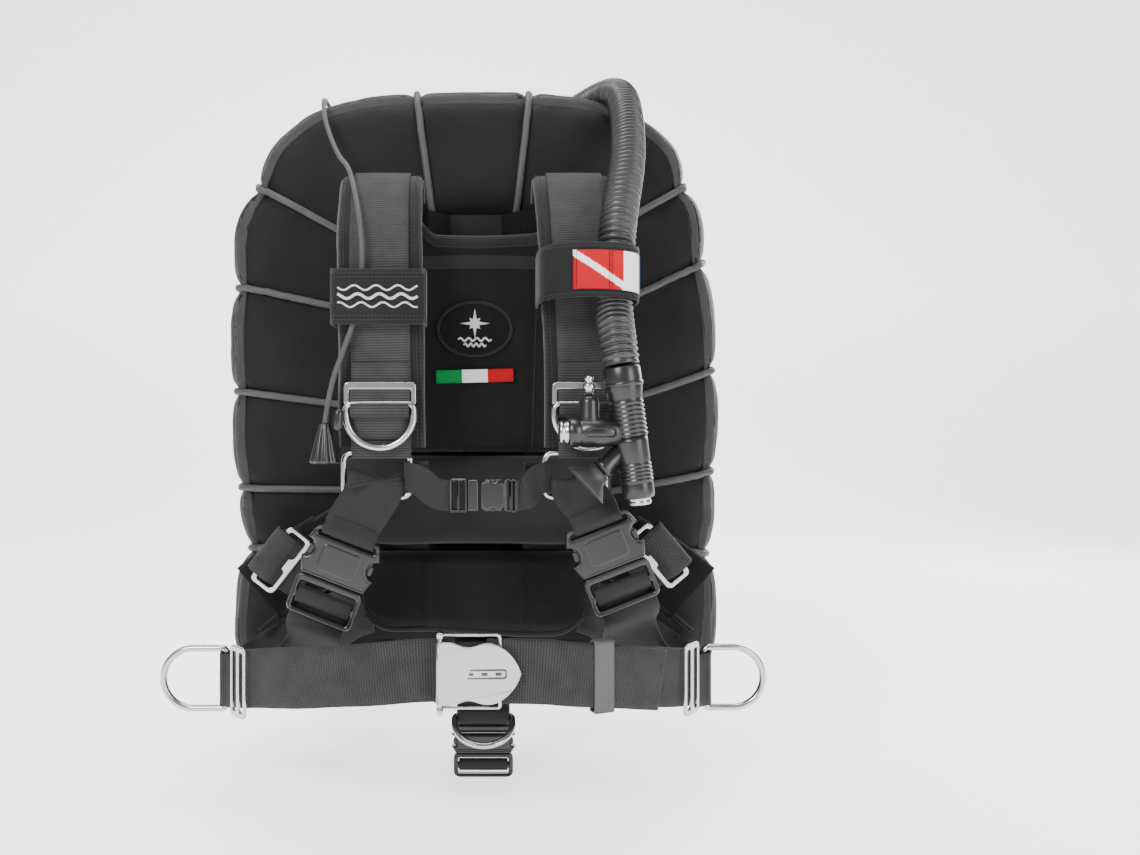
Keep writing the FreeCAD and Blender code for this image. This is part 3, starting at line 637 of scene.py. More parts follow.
cord_meshes = []
for xi, zi, xo, zo in LOOPS:
    side = 1 if xo > 0 else -1
    middle = xo * 0.72
    path = []
    for k in range(18):
        x = side * UNDER_PAD_X + (middle - side * UNDER_PAD_X) * k / 18
        z = zi + (zo - zi) * (abs(x) - abs(xi)) / (abs(xo) - abs(xi))
        path.append(on_skin((x * MM, FRONT_Y * MM, z * MM), (0, 1, 0), LOOP_LIFT))
    for k in range(41):
        turn = math.radians(-90 + 180 * k / 40)
        bent = (abs(middle) - abs(xi)) / (abs(xo) - abs(xi))
        z = zi + (zo - zi) * min(1, bent + (1 - bent) * k / 12)
        start = (middle * MM + side * 0.4 * math.cos(turn), MIDDLE_Y * MM + 0.4 * math.sin(turn), z * MM)
        path.append(on_skin(start, (-side * math.cos(turn), -math.sin(turn), 0), LOOP_LIFT))
    for k in range(1, 9):
        x = middle + (xi - middle) * k / 12
        path.append(on_skin((x * MM, REAR_Y * MM, (zo - 2 * k / 8) * MM), (0, -1, 0), LOOP_LIFT))
    cord_meshes.append(elastic_cord(path))
for xi, zi, xo, zo in TOP_LOOPS:
    path = []
    for k in range(16):
        share = k / 16 * 0.5
        x = xi + (xo - xi) * share
        z = zi + (zo - zi) * share
        hit = on_skin((x * MM, FRONT_Y * MM, z * MM), (0, 1, 0), LOOP_LIFT)
        path.append(hit if hit is not None else Vector((x * MM, 0.5 * MM, z * MM)))
    for k in range(31):
        turn = math.radians(-90 + 180 * k / 30)
        x = xi + (xo - xi) * min(1, 0.52 + 0.48 * k / 9)
        start = (x * MM, MIDDLE_Y * MM + 0.4 * math.sin(turn), TOP_CENTRE_Z * MM + 0.4 * math.cos(turn))
        path.append(on_skin(start, (0, -math.sin(turn), -math.cos(turn)), LOOP_LIFT))
    cord_meshes.append(elastic_cord(path))


def joined(name, meshes):
    """One mesh out of several; the first UV layer is kept."""
    whole = bmesh.new()
    for mesh in meshes:
        whole.from_mesh(mesh)
    return mesh_of(name, whole, False)


elastic = piece("elastic_loops", joined("elastic_loops", cord_meshes), braid)
settle(elastic, "harness", "grey_elastic", "bungees")

# ---------------------------------------------------- the plate and its eyes
# Folded 3 mm sheet, coated black, lies between pads and wing. Two pressed
# steel eyes let the tank bolts through the wing.
def metal(name, colour, rough, grain=0.0):
    """Bare metal with a little uneven polish; `grain` adds brush lines."""
    material = bpy.data.materials.new(name)
    material.use_nodes = True
    tree = material.node_tree
    shader = tree.nodes["Principled BSDF"]
    shader.inputs["Base Color"].default_value = (*colour, 1)
    shader.inputs["Metallic"].default_value = 1.0
    place = tree.nodes.new("ShaderNodeTexCoord")
    stretch = tree.nodes.new("ShaderNodeMapping")
    stretch.inputs["Scale"].default_value = (18, 90, 700) if grain else (60, 60, 60)
    cloud = tree.nodes.new("ShaderNodeTexNoise")
    cloud.inputs["Scale"].default_value = 1.0
    cloud.inputs["Detail"].default_value = 4.0
    span = tree.nodes.new("ShaderNodeMapRange")
    span.inputs["To Min"].default_value = rough * 0.75
    span.inputs["To Max"].default_value = rough * 1.35
    tree.links.new(place.outputs["Object"], stretch.inputs["Vector"])
    tree.links.new(stretch.outputs["Vector"], cloud.inputs["Vector"])
    tree.links.new(cloud.outputs["Fac"], span.inputs["Value"])
    tree.links.new(span.outputs["Result"], shader.inputs["Roughness"])
    relief = tree.nodes.new("ShaderNodeBump")
    relief.inputs["Strength"].default_value = 0.12 + grain
    relief.inputs["Distance"].default_value = 0.0002
    tree.links.new(cloud.outputs["Fac"], relief.inputs["Height"])
    tree.links.new(relief.outputs["Normal"], shader.inputs["Normal"])
    return material


def show_cad(node, material):
    """Shows a CAD node as it is, in the piece's own finish."""
    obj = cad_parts[node]
    obj.data.materials.clear()
    obj.data.materials.append(material)


polished = metal("polished_steel", (0.43, 0.43, 0.425), 0.24)
coated = metal("black_coated_sheet", (0.02, 0.02, 0.0205), 0.5, 0.1)
show_cad("backplate", coated)
show_cad("wing_grommets", polished)


# ------------------------------------------------------------- back padding
# Nylon-covered foam panels: the back panel with a bound, scooped neck edge,
# the smooth neoprene lumbar band and the lower panel with piped edges.
def cushion(
    name, x0, x1, low, high, back, front, edge, seams, material, crown=0.0, step=2.5, crease=0.0, seed=1
):
    """A closed crowned pad; low(x) and high(x) bound it, seams are grooves."""
    mesh_bm = bmesh.new()
    across = max(8, round((x1 - x0) / step))
    middle = (x0 + x1) / 2
    up = max(8, round((high(middle) - low(middle)) / step))
    sheets = []
    for is_front in (True, False):
        sheet = []
        for i in range(across + 1):
            x = x0 + (x1 - x0) * i / across
            z0, z1 = low(x), high(x)
            row = []
            for k in range(up + 1):
                z = z0 + (z1 - z0) * k / up
                if not is_front and (i in (0, across) or k in (0, up)):
                    row.append(sheets[0][i][k])
                    continue
                y = back
                if is_front:
                    near = min(x - x0, x1 - x, z - z0, z1 - z)
                    rise = 1 - (1 - min(near / edge, 1)) ** 2
                    tall = (back - front) * math.sqrt(max(rise, 0))
                    for place, wide, deep in seams:
                        tall -= deep * math.exp(-(place(x, z) / wide) ** 2) * min(near / 3, 1)
                    tall += crown * rise * math.cos((x - middle) / (x1 - x0) * math.pi)
                    if crease:
                        spot = Vector((x * 0.018, seed, z * 0.03))
                        tall += crease * rise * noise.noise(spot) + 0.4 * crease * rise * noise.noise(
                            spot * 4
                        )
                    y = back - max(tall, 0)
                row.append(mesh_bm.verts.new((x * MM, y * MM, z * MM)))
            sheet.append(row)
        sheets.append(sheet)
        for i in range(across):
            for k in range(up):
                a, b, c, d = sheet[i][k], sheet[i + 1][k], sheet[i + 1][k + 1], sheet[i][k + 1]
                mesh_bm.faces.new((a, b, c, d) if is_front else (d, c, b, a))
    obj = piece(name, mesh_of(name, mesh_bm, False), material)
    smooth = obj.modifiers.new("smooth", "SUBSURF")
    smooth.levels = smooth.render_levels = 1
    return obj


def rounded_ends(x0, x1, z, radius, sign):
    """A level edge at z that rounds off at both ends; sign is +1 at a top."""
    def height(x):
        near = min(x - x0, x1 - x)
        if near >= radius:
            return z
        return z - sign * (radius - math.sqrt(max(radius * radius - (radius - near) ** 2, 0)))
    return height


def neck(x):
    """The back panel's top edge: level at the shoulders, scooped between."""
    def ease(t):
        t = min(max(t, 0), 1)
        return t * t * (3 - 2 * t)
    dip = ease((x + 62) / 26) * ease((76 - x) / 24)
    return min(rounded_ends(-118, 118, 195, 10, 1)(x), 195 - 21 * dip - 2.2 * dip * math.cos(x * 0.03))


pad_cloth = tinted_cloth("pad_cordura", (0.0052, 0.0052, 0.0054), 0.72, 300, 0.5, 0.3, 0.12)
bound_cloth = tinted_cloth("binding_tape", (0.014, 0.014, 0.0143), 0.8, 360, 0.6, 0.3, 0.15)
neoprene = tinted_cloth("neoprene_jersey", (0.017, 0.017, 0.0173), 0.85, 520, 0.25, 0.15, 0.12)
back_pad = cushion(
    "back_panel", -118, 118, rounded_ends(-118, 118, -25.5, 8, -1), neck, -24.6, -41.0, 9,
    [
        (lambda x, z: x - 51 - (z - 60) * 0.03, 1.6, 1.6), (lambda x, z: x + 62, 1.6, 1.6),
        (lambda x, z: z - 147 + abs(x) * 0.02, 1.3, 1.2), (lambda x, z: z - 143.5 + abs(x) * 0.02, 1.0, 0.9),
        (lambda x, z: neck(x) - z - 8, 1.2, 1.0), (lambda x, z: neck(x) - z - 15, 1.2, 1.0),
    ],
    pad_cloth, crown=0.8, crease=0.7, seed=2.2,
)
settle(back_pad, "harness", "padded_cloth", "back_pad")
lumbar = cushion(
    "lumbar_band", -125, 125, lambda x: -112.5 + 8 * math.exp(-((abs(x) - 125) / 30) ** 2) + 2.5
    * math.cos(x / 60), lambda x: -27.5 - 3 * math.exp(-((abs(x) - 125) / 16) ** 2), -24.6, -45.0, 10, [],
    neoprene, crown=1.0, crease=1.3, seed=5.1,
)
settle(lumbar, "harness", "neoprene", "lumbar_pad")


def lower_edge(x):
    """The lower panel's hem, rounded at the corners and sagging a little."""
    return rounded_ends(-106, 103, -190 - 2.5 * math.sin(x / 34), 34, -1)(x)


lower_pad = cushion(
    "lower_panel", -106, 103, lower_edge, lambda x: -115.6, -24.6, -41.6, 10,
    [
        (lambda x, z: x + 50, 1.8, 2.2), (lambda x, z: x - 47, 1.8, 2.2),
        (lambda x, z: z - lower_edge(x) - 8.5, 1.3, 1.8), (lambda x, z: min(x + 98, 96 - x), 1.3, 1.4),
    ],
    pad_cloth, crown=0.6, crease=0.9, seed=8.4,
)
settle(lower_pad, "harness", "padded_cloth", "lower_pad")

# ---------------------------------------------------------- piping, stitches
# Folded binding tape closes the raw pad edges; thread shows as short, slightly
# sunk stitches along every sewn line.
def stitch_group():
    """A node group that lays one small bead of thread at every spacing."""
    group = bpy.data.node_groups.new("thread_line", "GeometryNodeTree")
    face = group.interface
    face.new_socket("Geometry", in_out="INPUT", socket_type="NodeSocketGeometry")
    for title in ("Spacing", "Stitch", "Thread"):
        face.new_socket(title, in_out="INPUT", socket_type="NodeSocketFloat")
    face.new_socket("Finish", in_out="INPUT", socket_type="NodeSocketMaterial")
    face.new_socket("Geometry", in_out="OUTPUT", socket_type="NodeSocketGeometry")
    nodes = group.nodes
    link = group.links.new
    start = nodes.new("NodeGroupInput")
    split = nodes.new("GeometryNodeResampleCurve")
    split.mode = "LENGTH"
    link(start.outputs["Geometry"], split.inputs["Curve"])
    link(start.outputs["Spacing"], split.inputs["Length"])
    bead = nodes.new("GeometryNodeMeshUVSphere")
    bead.inputs["Segments"].default_value = 8
    bead.inputs["Rings"].default_value = 6
    bead.inputs["Radius"].default_value = 1.0
    shape = nodes.new("ShaderNodeCombineXYZ")
    link(start.outputs["Thread"], shape.inputs["X"])
    link(start.outputs["Thread"], shape.inputs["Y"])
    link(start.outputs["Stitch"], shape.inputs["Z"])
    tangent = nodes.new("GeometryNodeInputTangent")
    turn = nodes.new("FunctionNodeAlignRotationToVector")
    link(tangent.outputs["Tangent"], turn.inputs["Vector"])
    lay = nodes.new("GeometryNodeInstanceOnPoints")
    link(split.outputs["Curve"], lay.inputs["Points"])
    link(bead.outputs["Mesh"], lay.inputs["Instance"])
    link(turn.outputs["Rotation"], lay.inputs["Rotation"])
    link(shape.outputs["Vector"], lay.inputs["Scale"])
    real = nodes.new("GeometryNodeRealizeInstances")
    link(lay.outputs["Instances"], real.inputs["Geometry"])
    paint = nodes.new("GeometryNodeSetMaterial")
    link(real.outputs["Geometry"], paint.inputs["Geometry"])
    link(start.outputs["Finish"], paint.inputs["Material"])
    finish = nodes.new("NodeGroupOutput")
    link(paint.outputs["Geometry"], finish.inputs["Geometry"])
    return group


thread_line = stitch_group()


def stitches(name, body, finish, runs, material, spacing=3.2, stitch=1.25, thread=0.32):
    """Thread beads along each run of points in mm, as one mesh on one body."""
    curve = bpy.data.curves.new(name, "CURVE")
    curve.dimensions = "3D"
    for run in runs:
        line = curve.splines.new("POLY")
        line.points.add(len(run) - 1)
        for point, place in zip(line.points, run):
            point.co = (place[0] * MM, place[1] * MM, place[2] * MM, 1)
    source = bpy.data.objects.new(name + "_run", curve)
    bpy.context.scene.collection.objects.link(source)
    layer = source.modifiers.new("thread", "NODES")
    layer.node_group = thread_line
    values = {"Spacing": spacing * MM, "Stitch": stitch * MM, "Thread": thread * MM, "Finish": material}
    for item in thread_line.interface.items_tree:
        if item.in_out == "INPUT" and item.name in values:
            layer[item.identifier] = values[item.name]
    bpy.context.view_layer.update()
    mesh = mesh_from(source)
    return add(name, mesh, material, body, finish)


thread = tinted_cloth("bonded_thread", (0.032, 0.032, 0.033), 0.55, 900, 0.3, 0.2)
rim_runs = []
steps = [-106 + 209 * k / 80 for k in range(81)]
piping = [Vector((x * MM, -36.5 * MM, (lower_edge(x) + 1.4) * MM)) for x in steps]
sides = [[Vector((x * MM, -36.5 * MM, z * MM)) for z in range(-156, -116, 3)] for x in (-105.2, 102.2)]
piping_mesh = joined(
    "lower_piping", [tube_along("p", run, 2.6 * MM, 10) for run in (piping[2:-2], sides[0], sides[1])]
)
add("lower_piping", piping_mesh, bound_cloth, "harness", "padded_cloth")
neck_steps = [-104 + 208 * k / 90 for k in range(91)]
neck_tape = bmesh.new()
rows = []
for x in neck_steps:
    top = neck(x)
    row = [
        (top + 0.6, -31), (top + 0.8, -38), (top - 1.5, -41.9), (top - 7, -42.6), (top - 11.5, -42.2),
        (top - 12.2, -40.8)
    ]
    rows.append([neck_tape.verts.new((x * MM, y * MM, z * MM)) for z, y in row])
for a, b in zip(rows, rows[1:]):
    for k in range(5):
        neck_tape.faces.new((a[k + 1], b[k + 1], b[k], a[k]))
add("neck_binding", mesh_of("neck_binding", neck_tape), bound_cloth, "harness", "padded_cloth")
for drop in (2.6, 10.4):
    rim_runs.append([(x, -42.6, neck(x) - drop) for x in neck_steps])
yoke = [(-58 + 110 * k / 40, -42.4, 152.2 - abs(-58 + 110 * k / 40) * 0.02) for k in range(41)]
rim_runs += [yoke, [(x, y, z - 9.5) for x, y, z in yoke]]
rim_runs.append([(53.4 + (z - 60) * 0.03, -42.2, z) for z in range(-20, 140, 6)])
rim_runs.append([(x, -39.6, lower_edge(x) + 10.6) for x in steps[12:-12]])
stitches("pad_thread", "harness", "padded_cloth", rim_runs, thread)

# The yoke tape crosses the back panel under the scooped neck.
yoke_tape = strap_mesh(
    "yoke_tape", [(-66, -41.9, 147), (-20, -42.7, 147.4), (20, -42.7, 147.4), (62, -41.9, 147)], 12, 1.0,
    (0, 0, 1)
)
add("yoke_tape", yoke_tape, bound_cloth, "harness", "padded_cloth")

# --------------------------------------------------------- badges on the back
# An oval embroidered badge with a plain eight-pointed star over two waves,
# and a narrow tricolour label below it.
def flat_shape(name, outer, holes, thick, bevel, segments=2):
    """A bevelled plate from 2-D loops in mm; it lies in XZ, centred on Y."""
    curve = bpy.data.curves.new(name, "CURVE")
    curve.dimensions = "2D"
    curve.fill_mode = "BOTH"
    curve.extrude = (thick / 2 - bevel) * MM
    curve.bevel_depth = bevel * MM
    curve.bevel_resolution = segments
    curve.offset = -bevel * MM
    for loop in [outer] + holes:
        line = curve.splines.new("POLY")
        line.points.add(len(loop) - 1)
        line.use_cyclic_u = True
        for point, (x, z) in zip(line.points, loop):
            point.co = (x * MM, z * MM, 0, 1)
    source = bpy.data.objects.new(name, curve)
    bpy.context.scene.collection.objects.link(source)
    mesh = mesh_from(source)
    mesh.transform(Matrix.Rotation(math.radians(90), 4, "X"))
    made = bmesh.new()
    made.from_mesh(mesh)
    bmesh.ops.remove_doubles(made, verts=made.verts[:], dist=1e-6)
    bmesh.ops.recalc_face_normals(made, faces=made.faces[:])
    made.to_mesh(mesh)
    made.free()
    return mesh


def oblong(wide, tall, radius, x=0.0, z=0.0, n=6):
    """A rounded rectangle as a loop of points."""
    loop = []
    for cx, cz, start in ((1, 1, 0), (-1, 1, 90), (-1, -1, 180), (1, -1, 270)):
        for k in range(n + 1):
            a = math.radians(start + 90 * k / n)
            loop.append(
                (
                    x + cx * (wide / 2 - radius) + radius * math.cos(a), z + cz * (tall / 2 - radius)
                    + radius * math.sin(a)
                )
            )
    return loop


def moved(mesh, x, y, z, tilt=0.0, axis="Y"):
    """The mesh turned about its own origin and put at a place in mm."""
    mesh.transform(
        Matrix.Translation((x * MM, y * MM, z * MM)) @ Matrix.Rotation(math.radians(tilt), 4, axis)
    )
    return mesh


def hard_edges(obj):
    """Keeps flat faces flat where the plate is bevelled."""
    clean = obj.modifiers.new("normals", "WEIGHTED_NORMAL")
    clean.keep_sharp = True
    return obj


def ring_of(rx, rz, n=64, x=0.0, z=0.0):
    return [
        (x + rx * math.cos(2 * math.pi * k / n), z + rz * math.sin(2 * math.pi * k / n)) for k in range(n)
    ]


badge_black = tinted_cloth("badge_twill", (0.003, 0.003, 0.0031), 0.6, 700, 0.4, 0.2)
white_thread = tinted_cloth("white_embroidery", (0.62, 0.62, 0.62), 0.55, 900, 0.8, 0.08)
badge = moved(flat_shape("badge", ring_of(34.5, 25.5), [], 1.2, 0.4), -1, -43.0, 87)
add("crest_badge", badge, badge_black, "harness", "patch_cloth", "crest_patch")
rim_path = [Vector(((-1 + x) * MM, -43.6 * MM, (87 + z) * MM)) for x, z in ring_of(33.2, 24.3, 96)]
add(
    "crest_rim", tube_along("rim", rim_path, 1.15 * MM, 8, closed=True), bound_cloth, "harness",
    "patch_cloth"
)
star = []
for k in range(16):
    a = math.radians(22.5 * k + 90)
    r = (13.5, 4.2, 7.0, 4.2)[k % 4]
    star.append((r * math.cos(a), r * math.sin(a)))
marks = [moved(flat_shape("star", star, [], 0.7, 0.25), -1, -43.9, 92.0)]
for rise, half in ((-9.5, 15), (-14.5, 10)):
    wave = [
        Vector(((-1 + x * half / 12) * MM, -43.9 * MM, (87 + rise + 1.4 * math.sin(x * 1.05)) * MM))
        for x in [-12 + 24 * k / 60 for k in range(61)]
    ]
    marks.append(tube_along("wave", wave, 0.9 * MM, 6))
add("crest_marks", marks, white_thread, "harness", "patch_cloth")


def plain(name, colour, rough, sheen=0.0):
    """One even colour with a fine woven relief."""
    return tinted_cloth(name, colour, rough, 800, 0.6, 0.1, sheen)


label_turn = -1.5
for k, (title, colour) in enumerate(
    (("green", (0.0, 0.20, 0.045)), ("white", (0.75, 0.74, 0.72)), ("red", (0.40, 0.004, 0.008)))
):
    part = flat_shape("label", oblong(23.6, 12, 0.6, -23.3 + 23.3 * k, 0), [], 0.9, 0.25)
    part = moved(part, -1, -43.0, 44.4, label_turn)
    label = piece(f"label_{title}", part, plain(f"label_{title}", colour, 0.6))
    settle(label, "harness", "strip_cloth", *(["colour_strip"] if k == 0 else []))
edge_line = [(x * 35.6 / 35 - 1, -43.3, z + 44.4 + (x * 0.026)) for x, z in oblong(70.5, 12.6, 1.2)]
stitches("label_thread", "harness", "strip_cloth", [edge_line + edge_line[:1]], badge_black, 1.2, 0.8, 0.45)

# ------------------------------------------------------------ shoulder straps
# A 73 mm padded sleeve with bound edges goes over each shoulder; the 50 mm
# webbing runs down its middle and turns back round the D-ring bar.
STRAP = [
    (-26, 205), (-31, 215), (-43, 221), (-58, 215), (-73, 200), (-86, 175), (-95, 145), (-99, 110),
    (-100, 70), (-100, 30), (-100, -2), (-100, -19),
]
webbing = woven("harness_webbing", (0.002, 0.002, 0.0021), (0.040, 0.040, 0.041), 2.2, 1.9, 0.45)
sleeve = tinted_cloth("sleeve_cordura", (0.011, 0.011, 0.0112), 0.75, 300, 0.7, 0.35, 0.2)
pad_outline = []
for k in range(25):
    a = -1 + k / 12
    bound = 0.5 if abs(a) > 0.80 else 0.0
    groove = 0.7 * math.exp(-((abs(a) - 0.79) / 0.02) ** 2)
    pad_outline.append((a * 36.5, 4.1 * (1 - abs(a) ** 7) ** 0.5 + bound * 0.6 - groove))
pad_outline += [(-a, -b * 0.85) for a, b in pad_outline[1:-1]]


def strap_line(side, offset, low_z):
    """The strap's centre line, `offset` mm in front of the sleeve's middle."""
    x_top, x_low = (-83, -79) if side < 0 else (87, 94)
    route = STRAP[:-1] + [(-100, low_z)]
    points = []
    for i, (y, z) in enumerate(route):
        y0, z0 = route[max(i - 1, 0)]
        y1, z1 = route[min(i + 1, len(route) - 1)]
        size = math.hypot(y1 - y0, z1 - z0)
        share = min(1, max(0, (205 - z) / 170))
        points.append(
            (x_top + (x_low - x_top) * share, y + offset * (z1 - z0) / size, z - offset * (y1 - y0) / size)
        )
    return points


for side, tag in ((-1, "left"), (1, "right")):
    pad = strap_mesh(f"sleeve_{tag}", strap_line(side, 0, -19), 73, 8, steps=8, outline=pad_outline)
    for v in pad.vertices:
        spot = v.co * 34
        v.co.y -= 0.0009 * noise.noise(spot) + 0.0004 * noise.noise(spot * 3.7)
        v.co.x += 0.0012 * noise.noise(spot * 0.6 + Vector((7, 1, 3)))
    pad_obj = piece(f"shoulder_sleeve_{tag}", pad, sleeve)
    settle(pad_obj, "harness", "padded_cloth", f"shoulder_pad_{tag}")
    seam_runs = []
    for across in (-33.6, -30.0, 30.0, 33.6):
        line = smooth_path(strap_line(side, 4.5, -18), 4)
        seam_runs.append([(p.x + across, p.y, p.z) for p in line])
    stitches(f"sleeve_thread_{tag}", "harness", "padded_cloth", seam_runs, thread, 3.4)
    face = strap_mesh(f"face_{tag}", strap_line(side, 5.4, -28), 50, 2.4, steps=8, crown=0.25)
    x = -79.5 if side < 0 else 93
    turn_back = [
        (x, -107.8, 52), (x, -107.8, 24), (x, -108.6, 20), (x, -112.8, 18.0), (x, -116.2, 16.4),
        (x, -117.0, 13), (x, -116.2, 9.6), (x, -112.8, 8), (x, -108.6, 6), (x, -107.8, 1), (x, -107.8, -12),
    ]
    back_turn = strap_mesh(f"turn_{tag}", turn_back, 48.5, 1.6, steps=5, crown=0.2)
    web_obj = piece(f"shoulder_webbing_{tag}", joined(f"shoulder_webbing_{tag}", [face, back_turn]), webbing)
    settle(web_obj, "harness", "webbing", f"shoulder_web_{tag}")

# ------------------------------------------------- steel wire and plate parts
# Polished stainless: 6 mm wire D-rings, stamped three-bar sliders and the
# square link rings that join the shoulder straps to the quick-release buckles.
def ring_wire(half, straight, corner=5.0):
    """A D-ring as one closed wire; its bar lies along X at the origin."""
    path = []
    for k in range(9):
        a = math.radians(90 - 90 * k / 8)
        path.append((half - corner + corner * math.cos(a), -corner + corner * math.sin(a)))
    bow = [
        (half * math.cos(a), -straight + half * math.sin(a)) for a in [-math.pi * k / 36 for k in range(37)]
    ]
    left = [(-x, z) for x, z in path[::-1]]
    bar = [(x, 0) for x in (-half + corner + 4, -half / 2, 0, half / 2, half - corner - 4)]
    loop = bar + path + bow + left
    return [Vector((x, 0, z)) for x, z in loop]


def wire_mesh(name, half, straight, wire):
    points = [p * MM for p in ring_wire(half, straight)]
    clean = [points[0]]
    for p in points[1:]:
        if (p - clean[-1]).length > 0.0008:
            clean.append(p)
    return tube_along(name, clean, wire * MM, 16, closed=True)


for x, tag in ((-79.5, "left"), (93, "right")):
    ring = moved(wire_mesh("ring", 28, 8, 3), x, -112.8, 17)
    add(f"chest_ring_{tag}", ring, polished, f"chest_ring_{tag}", "steel", f"chest_dring_{tag}")
for x, turn, leg, tag in ((-224.4, 90, 30, "left"), (205.4, -90, 26, "right")):
    ring = wire_mesh("ring", 27, leg, 3)
    ring = moved(ring, x, -48, -228 if x < 0 else -227, turn)
    add(f"waist_ring_{tag}", ring, polished, f"waist_ring_{tag}", "steel", f"waist_dring_{tag}")
plates, folds = [], []
for x in (-79.5, 93):
    plates.append(
        moved(
            flat_shape("slider", oblong(60, 20, 4), [oblong(51, 10.5, 1.5, 0, -1.5)], 3.2, 1.0, 3), x,
            -111.2, 25.6
        )
    )
    over_bar = [(x, -110.6, 29.6), (x, -112.6, 28), (x, -113.6, 24), (x, -113.4, 19), (x, -111.6, 15.5)]
    folds.append(strap_mesh("fold", over_bar, 50, 1.6, (1, 0, 0), steps=4))
add("chest_slider_pair", plates, polished, "harness", "steel", "chest_sliders", crisp=True)
add("chest_slider_folds", folds, webbing, "harness", "webbing")
links = []
for x, half in ((-83, 30.5), (83, 28)):
    loop = [Vector((px * MM, 0, pz * MM)) for px, pz in oblong(half * 2 - 5, 37, 7, n=8)]
    links.append(moved(tube_along("link", loop, 2.4 * MM, 14, closed=True), x, -101, -42))
add("link_ring_pair", links, polished, "harness", "steel", "link_rings")
hips = []
for x, z, tilt in ((-176, -122, 38), (165, -118, -40)):
    plate = flat_shape(
        "hip", oblong(26, 60, 5), [oblong(17, 20, 3, 0, 16), oblong(17, 20, 3, 0, -16)], 3.0, 1.0, 3
    )
    hips.append(moved(plate, x, -46, z, tilt))
add("hip_slider_pair", hips, polished, "harness", "steel", "hip_sliders", crisp=True)
waists = []
for x, y, z, turn in ((-203.6, -86.6, -220, -46), (184.4, -87.0, -217, 48)):
    plate = flat_shape(
        "waist", oblong(24, 61, 4), [oblong(7, 51, 2, -5.5, 0), oblong(7, 51, 2, 5.5, 0)], 2.8, 0.9, 3
    )
    waists.append(moved(plate, x, y, z, turn, "Z"))
add("waist_slider_pair", waists, polished, "harness", "steel", "waist_sliders", crisp=True)

# ---------------------------------------------------------- bands on the straps
# A sewn band holds each strap's slack; the wide one also carries the hose and
# a diver-down flag. Both have doubled, stitched hems.
def hoop(name, loop, low, high, thick, steps=6, closed=True):
    """A band of height low..high round a closed loop in the XY plane."""
    middle = (low + high) / 2
    return strap_mesh(
        name, [(x, y, middle) for x, y in loop], high - low, thick, (0, 0, 1), steps=steps, closed=closed
    )


band_cloth = tinted_cloth("band_cordura", (0.0095, 0.0095, 0.0098), 0.72, 330, 0.6, 0.3, 0.15)
left_loop = [(x - 81, y - 103) for x, y in oblong(77.6, 24.4, 5, n=4)]
right_loop = [
    (131.9, -104), (131.6, -126), (127.5, -135.6), (118, -140.0), (92, -140.2), (66, -139.2), (55.5, -133),
    (51.8, -120), (51.8, -96), (55.6, -89.4), (92, -88.8), (128, -89.4)
]
left_band = hoop("left", left_loop, 83, 129, 1.7, 3)
right_band = hoop("right", right_loop[::-1], 100, 144, 1.7, 6)
for v in right_band.vertices:
    bow = (v.co.x / MM - 92) / 40
    v.co.z += (2.2 - 3.0 * bow * bow) * MM
add("band_left", left_band, band_cloth, "harness", "webbing", "strap_band_left")
add("band_right", right_band, band_cloth, "harness", "webbing", "hose_band_right")
hem_runs = []
for z in (87, 90, 122, 125):
    hem_runs.append([(x, -116.3, z) for x in range(-117, -44, 4)])
for z in (103.2, 140.4):
    line = smooth_path([(131.9, -104, z)] + [(x, y, z) for x, y in right_loop[1:8]], 8)
    hem_runs.append(
        [
            (92 + (p.x - 92) * 1.021, -104 + (p.y + 104) * 1.024, p.z + 2.2 - 3.0 * ((p.x - 92) / 40) ** 2)
            for p in line
        ]
    )
stitches("band_thread", "harness", "webbing", hem_runs, thread, 3.0)
for k, rise in enumerate((99, 106, 113)):
    wave = [
        Vector(((-81 + x) * MM, -116.6 * MM, (rise + 2.0 * math.sin(x * 0.35 + k)) * MM))
        for x in [-33 + 66 * j / 90 for j in range(91)]
    ]
    add(
        f"band_wave_{k}", tube_along("w", wave, (1.2 if k == 1 else 0.8) * MM, 6), white_thread, "harness",
        "webbing"
    )


flag_line = smooth_path(
    [
        (77, -141.3, 0), (92, -141.6, 0), (106, -141.5, 0), (118, -140.9, 0), (126, -138.2, 0),
        (131, -131.4, 0), (133, -123, 0)
    ],
    12
)


def on_band(s, z):
    """A point on the flag's face; s runs 0..1 across the band's front."""
    p = flag_line[min(int(s * (len(flag_line) - 1)), len(flag_line) - 1)]
    return Vector((p.x, p.y - 0.5, z + 2.2 - 3.0 * ((p.x - 92) / 40) ** 2))


flag_red = plain("flag_red", (0.40, 0.006, 0.012), 0.6)
flag_white = plain("flag_white", (0.80, 0.80, 0.79), 0.6)
flag_blue = plain("flag_blue", (0.02, 0.09, 0.42), 0.6)
flag = bmesh.new()
COLS, LINES = 110, 56
grid = [
    [flag.verts.new(on_band(i / COLS, 106 + 31 * k / LINES) * MM) for k in range(LINES + 1)]
    for i in range(COLS + 1)
]
for i in range(COLS):
    for k in range(LINES):
        face = flag.faces.new((grid[i][k], grid[i + 1][k], grid[i + 1][k + 1], grid[i][k + 1]))
        x = face.calc_center_median().x / MM
        on_line = abs(1 - (k + 0.5) / LINES - (0.06 + (x - 77) / 40 * 0.84)) < 0.10
        face.material_index = 2 if x > 130.4 else (1 if x > 117 or on_line else 0)
flag_mesh = mesh_of("flag", flag)
stripes = [p.material_index for p in flag_mesh.polygons]
flag_obj = piece("diver_flag", flag_mesh, flag_red)
flag_mesh.materials.append(flag_white)
flag_mesh.materials.append(flag_blue)
flag_mesh.polygons.foreach_set("material_index", stripes)
back = flag_obj.modifiers.new("thick", "SOLIDIFY")
back.thickness = 0.5 * MM
back.offset = 1
settle(flag_obj, "harness", "webbing")

